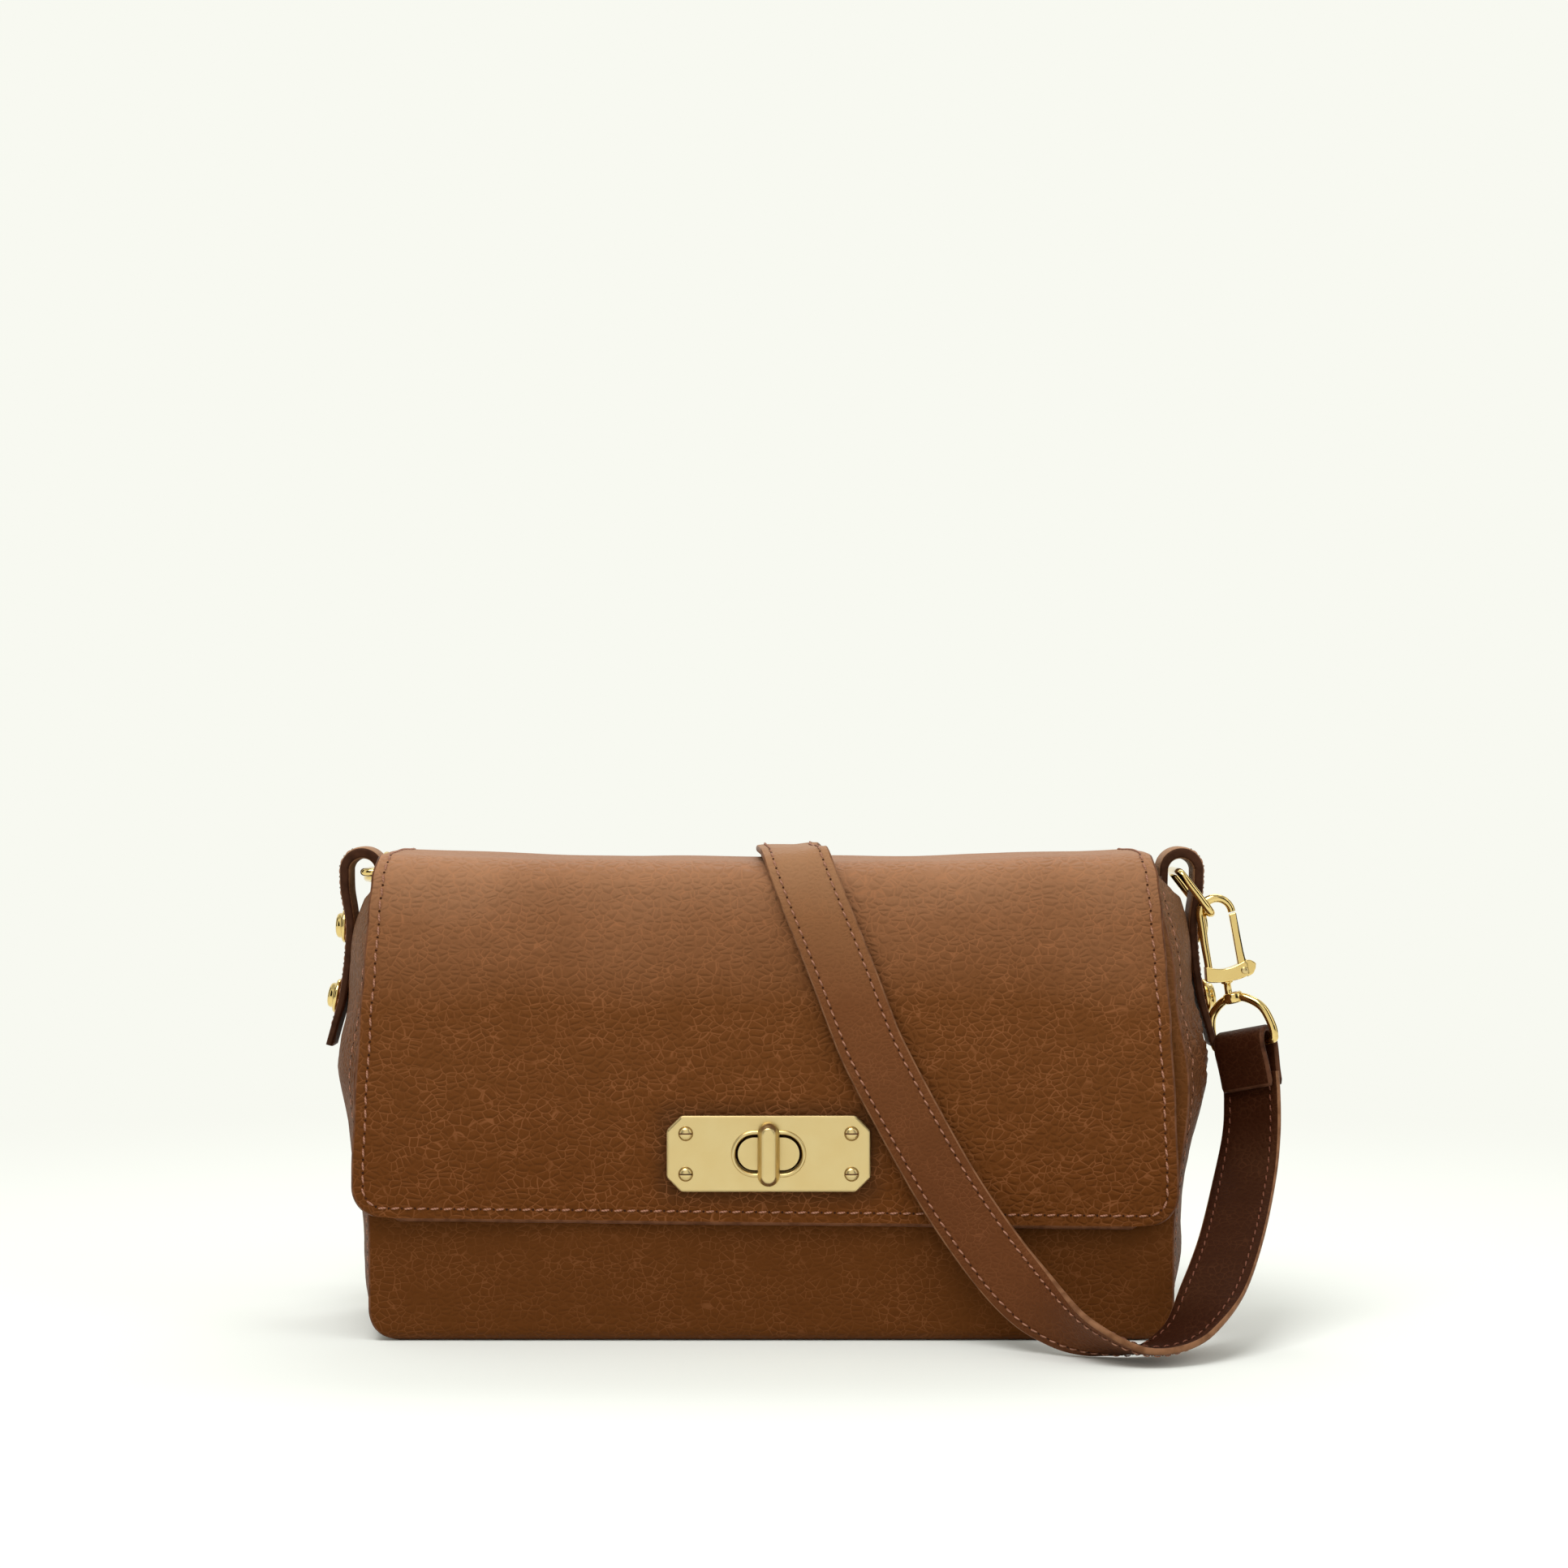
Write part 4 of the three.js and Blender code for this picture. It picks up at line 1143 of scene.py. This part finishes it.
def strap_frames():
    """Evenly spaced (place, width way, outward way) along the strap."""
    places = catmull([p for p, _ in STRAP_ROUTE], 24)
    widths = catmull([w for _, w in STRAP_ROUTE], 24)
    frames = []
    travelled, last = 0.0, None
    for n, place in enumerate(places):
        if last is not None:
            travelled += (place - last).length
            if travelled < 1.4 and n < len(places) - 1:
                last = place
                continue
        run = direction(places, n)
        width = (widths[n] - run * widths[n].dot(run)).normalized()
        frames.append((place, width, run.cross(width)))
        travelled, last = 0.0, place
    return frames


def strap_section():
    """The strap's section as (across, outward, material): a crowned tan face, painted edges, a dark back."""
    half, top, low = STRAP_WIDTH / 2, STRAP_THICK / 2, -STRAP_THICK / 2
    steps = 12
    section = []
    for k in range(steps + 1):
        share = 2 * k / steps - 1
        section.append((share * (half - 0.5), top - 0.35 * share**6, 0))
    for k in range(1, 6):
        turn = math.pi * k / 6
        section.append((half - 0.5 + 0.5 * math.sin(turn), (top - 0.35) * math.cos(turn), 1))
    for k in range(steps + 1):
        share = 1 - 2 * k / steps
        section.append((share * (half - 0.5), low + 0.3 * share**6, 2))
    for k in range(1, 6):
        turn = math.pi * (1 - k / 6)
        section.append((-half + 0.5 - 0.5 * math.sin(turn), (top - 0.35) * math.cos(turn), 1))
    return section


def with_the_flap(made):
    """The strap lies on the flap; this bakes its placement into its mesh."""
    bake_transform(made)


def strap():
    frames = strap_frames()
    section = strap_section()
    points = []
    for place, width, outward in frames:
        points += [place + width * across + outward * out for across, out, _ in section]
    kinds = [kind for _, _, kind in section]
    band = [now if now == after else 1 for now, after in zip(kinds, kinds[1:] + kinds[:1])]
    indices = band * (len(frames) - 1) + [1, 1]
    faces = walls(len(frames), len(section)) + caps(len(frames), len(section))
    made = piece("strap_leather", points, faces, [STRAP_TAN, STRAP_EDGE, DARK], indices, body=None)
    with_the_flap(made)
    stands_for(made, "tan_leather", "strap_outer", "strap_lining")
    path = [tuple(place * MM) for place, _, _ in frames]
    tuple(path[0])
    for name, way, radius, threads, stands in (
        ("strap_stitches", 1, 0.27, THREAD, 0.22),
        ("strap_back_stitches", -1, 0.25, BROWN_THREAD, 0.12),
    ):
        lines = []
        for edge in (-7.2, 7.2):
            places = [p + w * edge + o * (way * STRAP_THICK / 2) for p, w, o in frames]
            lines.append((places, [o * way for _, _, o in frames]))
        for made in sewn(name, lines, 3.3, 2.2, radius, body=None, threads=threads, stands=stands):
            with_the_flap(made)


# ---- what the CAD keeps inside --------------------------------------------------------------------
def inside():
    kept = {"lining": LINING, "inner_pocket": LINING, "base_board": BOARD, "lock_backing_plate": SATIN}
    for name, material in kept.items():
        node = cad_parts[name]
        node.data.materials.clear()
        node.data.materials.append(material)


# ---- camera, floor and light ----------------------------------------------------------------------
def camera():
    lens = bpy.data.cameras.new("camera")
    lens.lens = LENS
    lens.sensor_width = 36.0
    lens.clip_end = 20.0
    made = bpy.data.objects.new("camera", lens)
    made.location = Vector(CAMERA_AT) * MM
    made.rotation_euler = (math.pi / 2, 0, 0)
    bpy.context.scene.collection.objects.link(made)
    bpy.context.scene.camera = made


BACKDROP = srgb(248, 249, 241)
BOWL_RADIUS, BOWL_CURVE = 1.4, 0.9


def stage_material():
    """White paper near the bag, where it takes the shadow; further out it glows as an even pale backdrop."""
    n = Nodes("studio_paper")
    away = n.add("ShaderNodeVectorMath", {0: n.place()}, operation="LENGTH").outputs["Value"]
    far = n.ramp(away, 0.12, 0.75)
    n.into("Base Color", (0.77, 0.785, 0.755, 1))
    n.into("Roughness", 0.9)
    n.into("Specular IOR Level", 0.0)
    glow = n.add("ShaderNodeEmission", {"Color": BACKDROP, "Strength": 1.0})
    mix = n.add("ShaderNodeMixShader", {0: far, 1: n.shader.outputs[0], 2: glow.outputs[0]})
    output = n.tree.nodes["Material Output"]
    n.put(output.inputs["Surface"], mix.outputs[0])
    return n.material


def studio():
    """A pale bowl round the bag, with soft lights above and dark cards for the metal to reflect."""
    profile = [(0.0, 0.0), (0.4, 0.0), (0.9, 0.0), (BOWL_RADIUS, 0.0)]
    for turn in (math.pi / 2 * k / 16 for k in range(1, 17)):
        profile.append((BOWL_RADIUS + BOWL_CURVE * math.sin(turn), BOWL_CURVE - BOWL_CURVE * math.cos(turn)))
    profile += [(BOWL_RADIUS + BOWL_CURVE, 1.6), (BOWL_RADIUS + BOWL_CURVE, 2.6)]
    shape = lathe([(r / MM, z / MM) for r, z in profile], 96)
    piece("studio_bowl", *shape, [stage_material()], body=None)
    cards = ((-0.72, -0.85, -0.7), (0.72, -0.85, 0.7), (1.2, 0.3, 1.5), (-1.2, 0.3, 1.5))
    for number, (x, y, turn) in enumerate(cards):
        card(number, x, y, turn)
    world = bpy.data.worlds.new("studio")
    world.use_nodes = True
    background = world.node_tree.nodes["Background"]
    background.inputs[0].default_value = BACKDROP
    background.inputs[1].default_value = 0.55
    bpy.context.scene.world = world
    light("key", (-0.35, -0.75, 1.55), (0.9, 0.9), 17.0)
    light("fill", (1.1, -0.9, 0.9), (0.7, 0.9), 4.0)
    light("rim", (0.2, 0.9, 1.5), (1.2, 0.5), 8.0)


def card(number, x, y, turn):
    """A dark card for the metal to reflect, out of the camera's sight."""
    sheet = prism([(-330, 0), (330, 0), (330, 1100), (-330, 1100)], 0, 4)
    made = piece(f"dark_card_{number}", *sheet, [CARD], body=None)
    made.location = (x, y, 0.05)
    made.rotation_euler = (0, 0, turn)
    for ray in ("camera", "diffuse", "shadow"):
        setattr(made, f"visible_{ray}", False)


def light(name, place, size, power):
    """A soft rectangular lamp aimed at the middle of the bag."""
    lamp = bpy.data.lights.new(name, "AREA")
    lamp.shape = "RECTANGLE"
    lamp.size, lamp.size_y = size
    lamp.energy = power
    made = bpy.data.objects.new(name, lamp)
    made.location = place
    aim = Vector((0, 0, 0.08)) - Vector(place)
    made.rotation_euler = aim.to_track_quat("-Z", "Y").to_euler()
    made.visible_camera = False
    bpy.context.scene.collection.objects.link(made)


def look():
    settings = bpy.context.scene.view_settings
    settings.view_transform = "Standard"
    settings.look = "None"
    settings.exposure = 0.0
    settings.gamma = 1.0


camera()
strap()
body_wrap()
gussets()
seam_stitches()
flap()
lock()
tabs()
clips()
inside()
studio()
look()
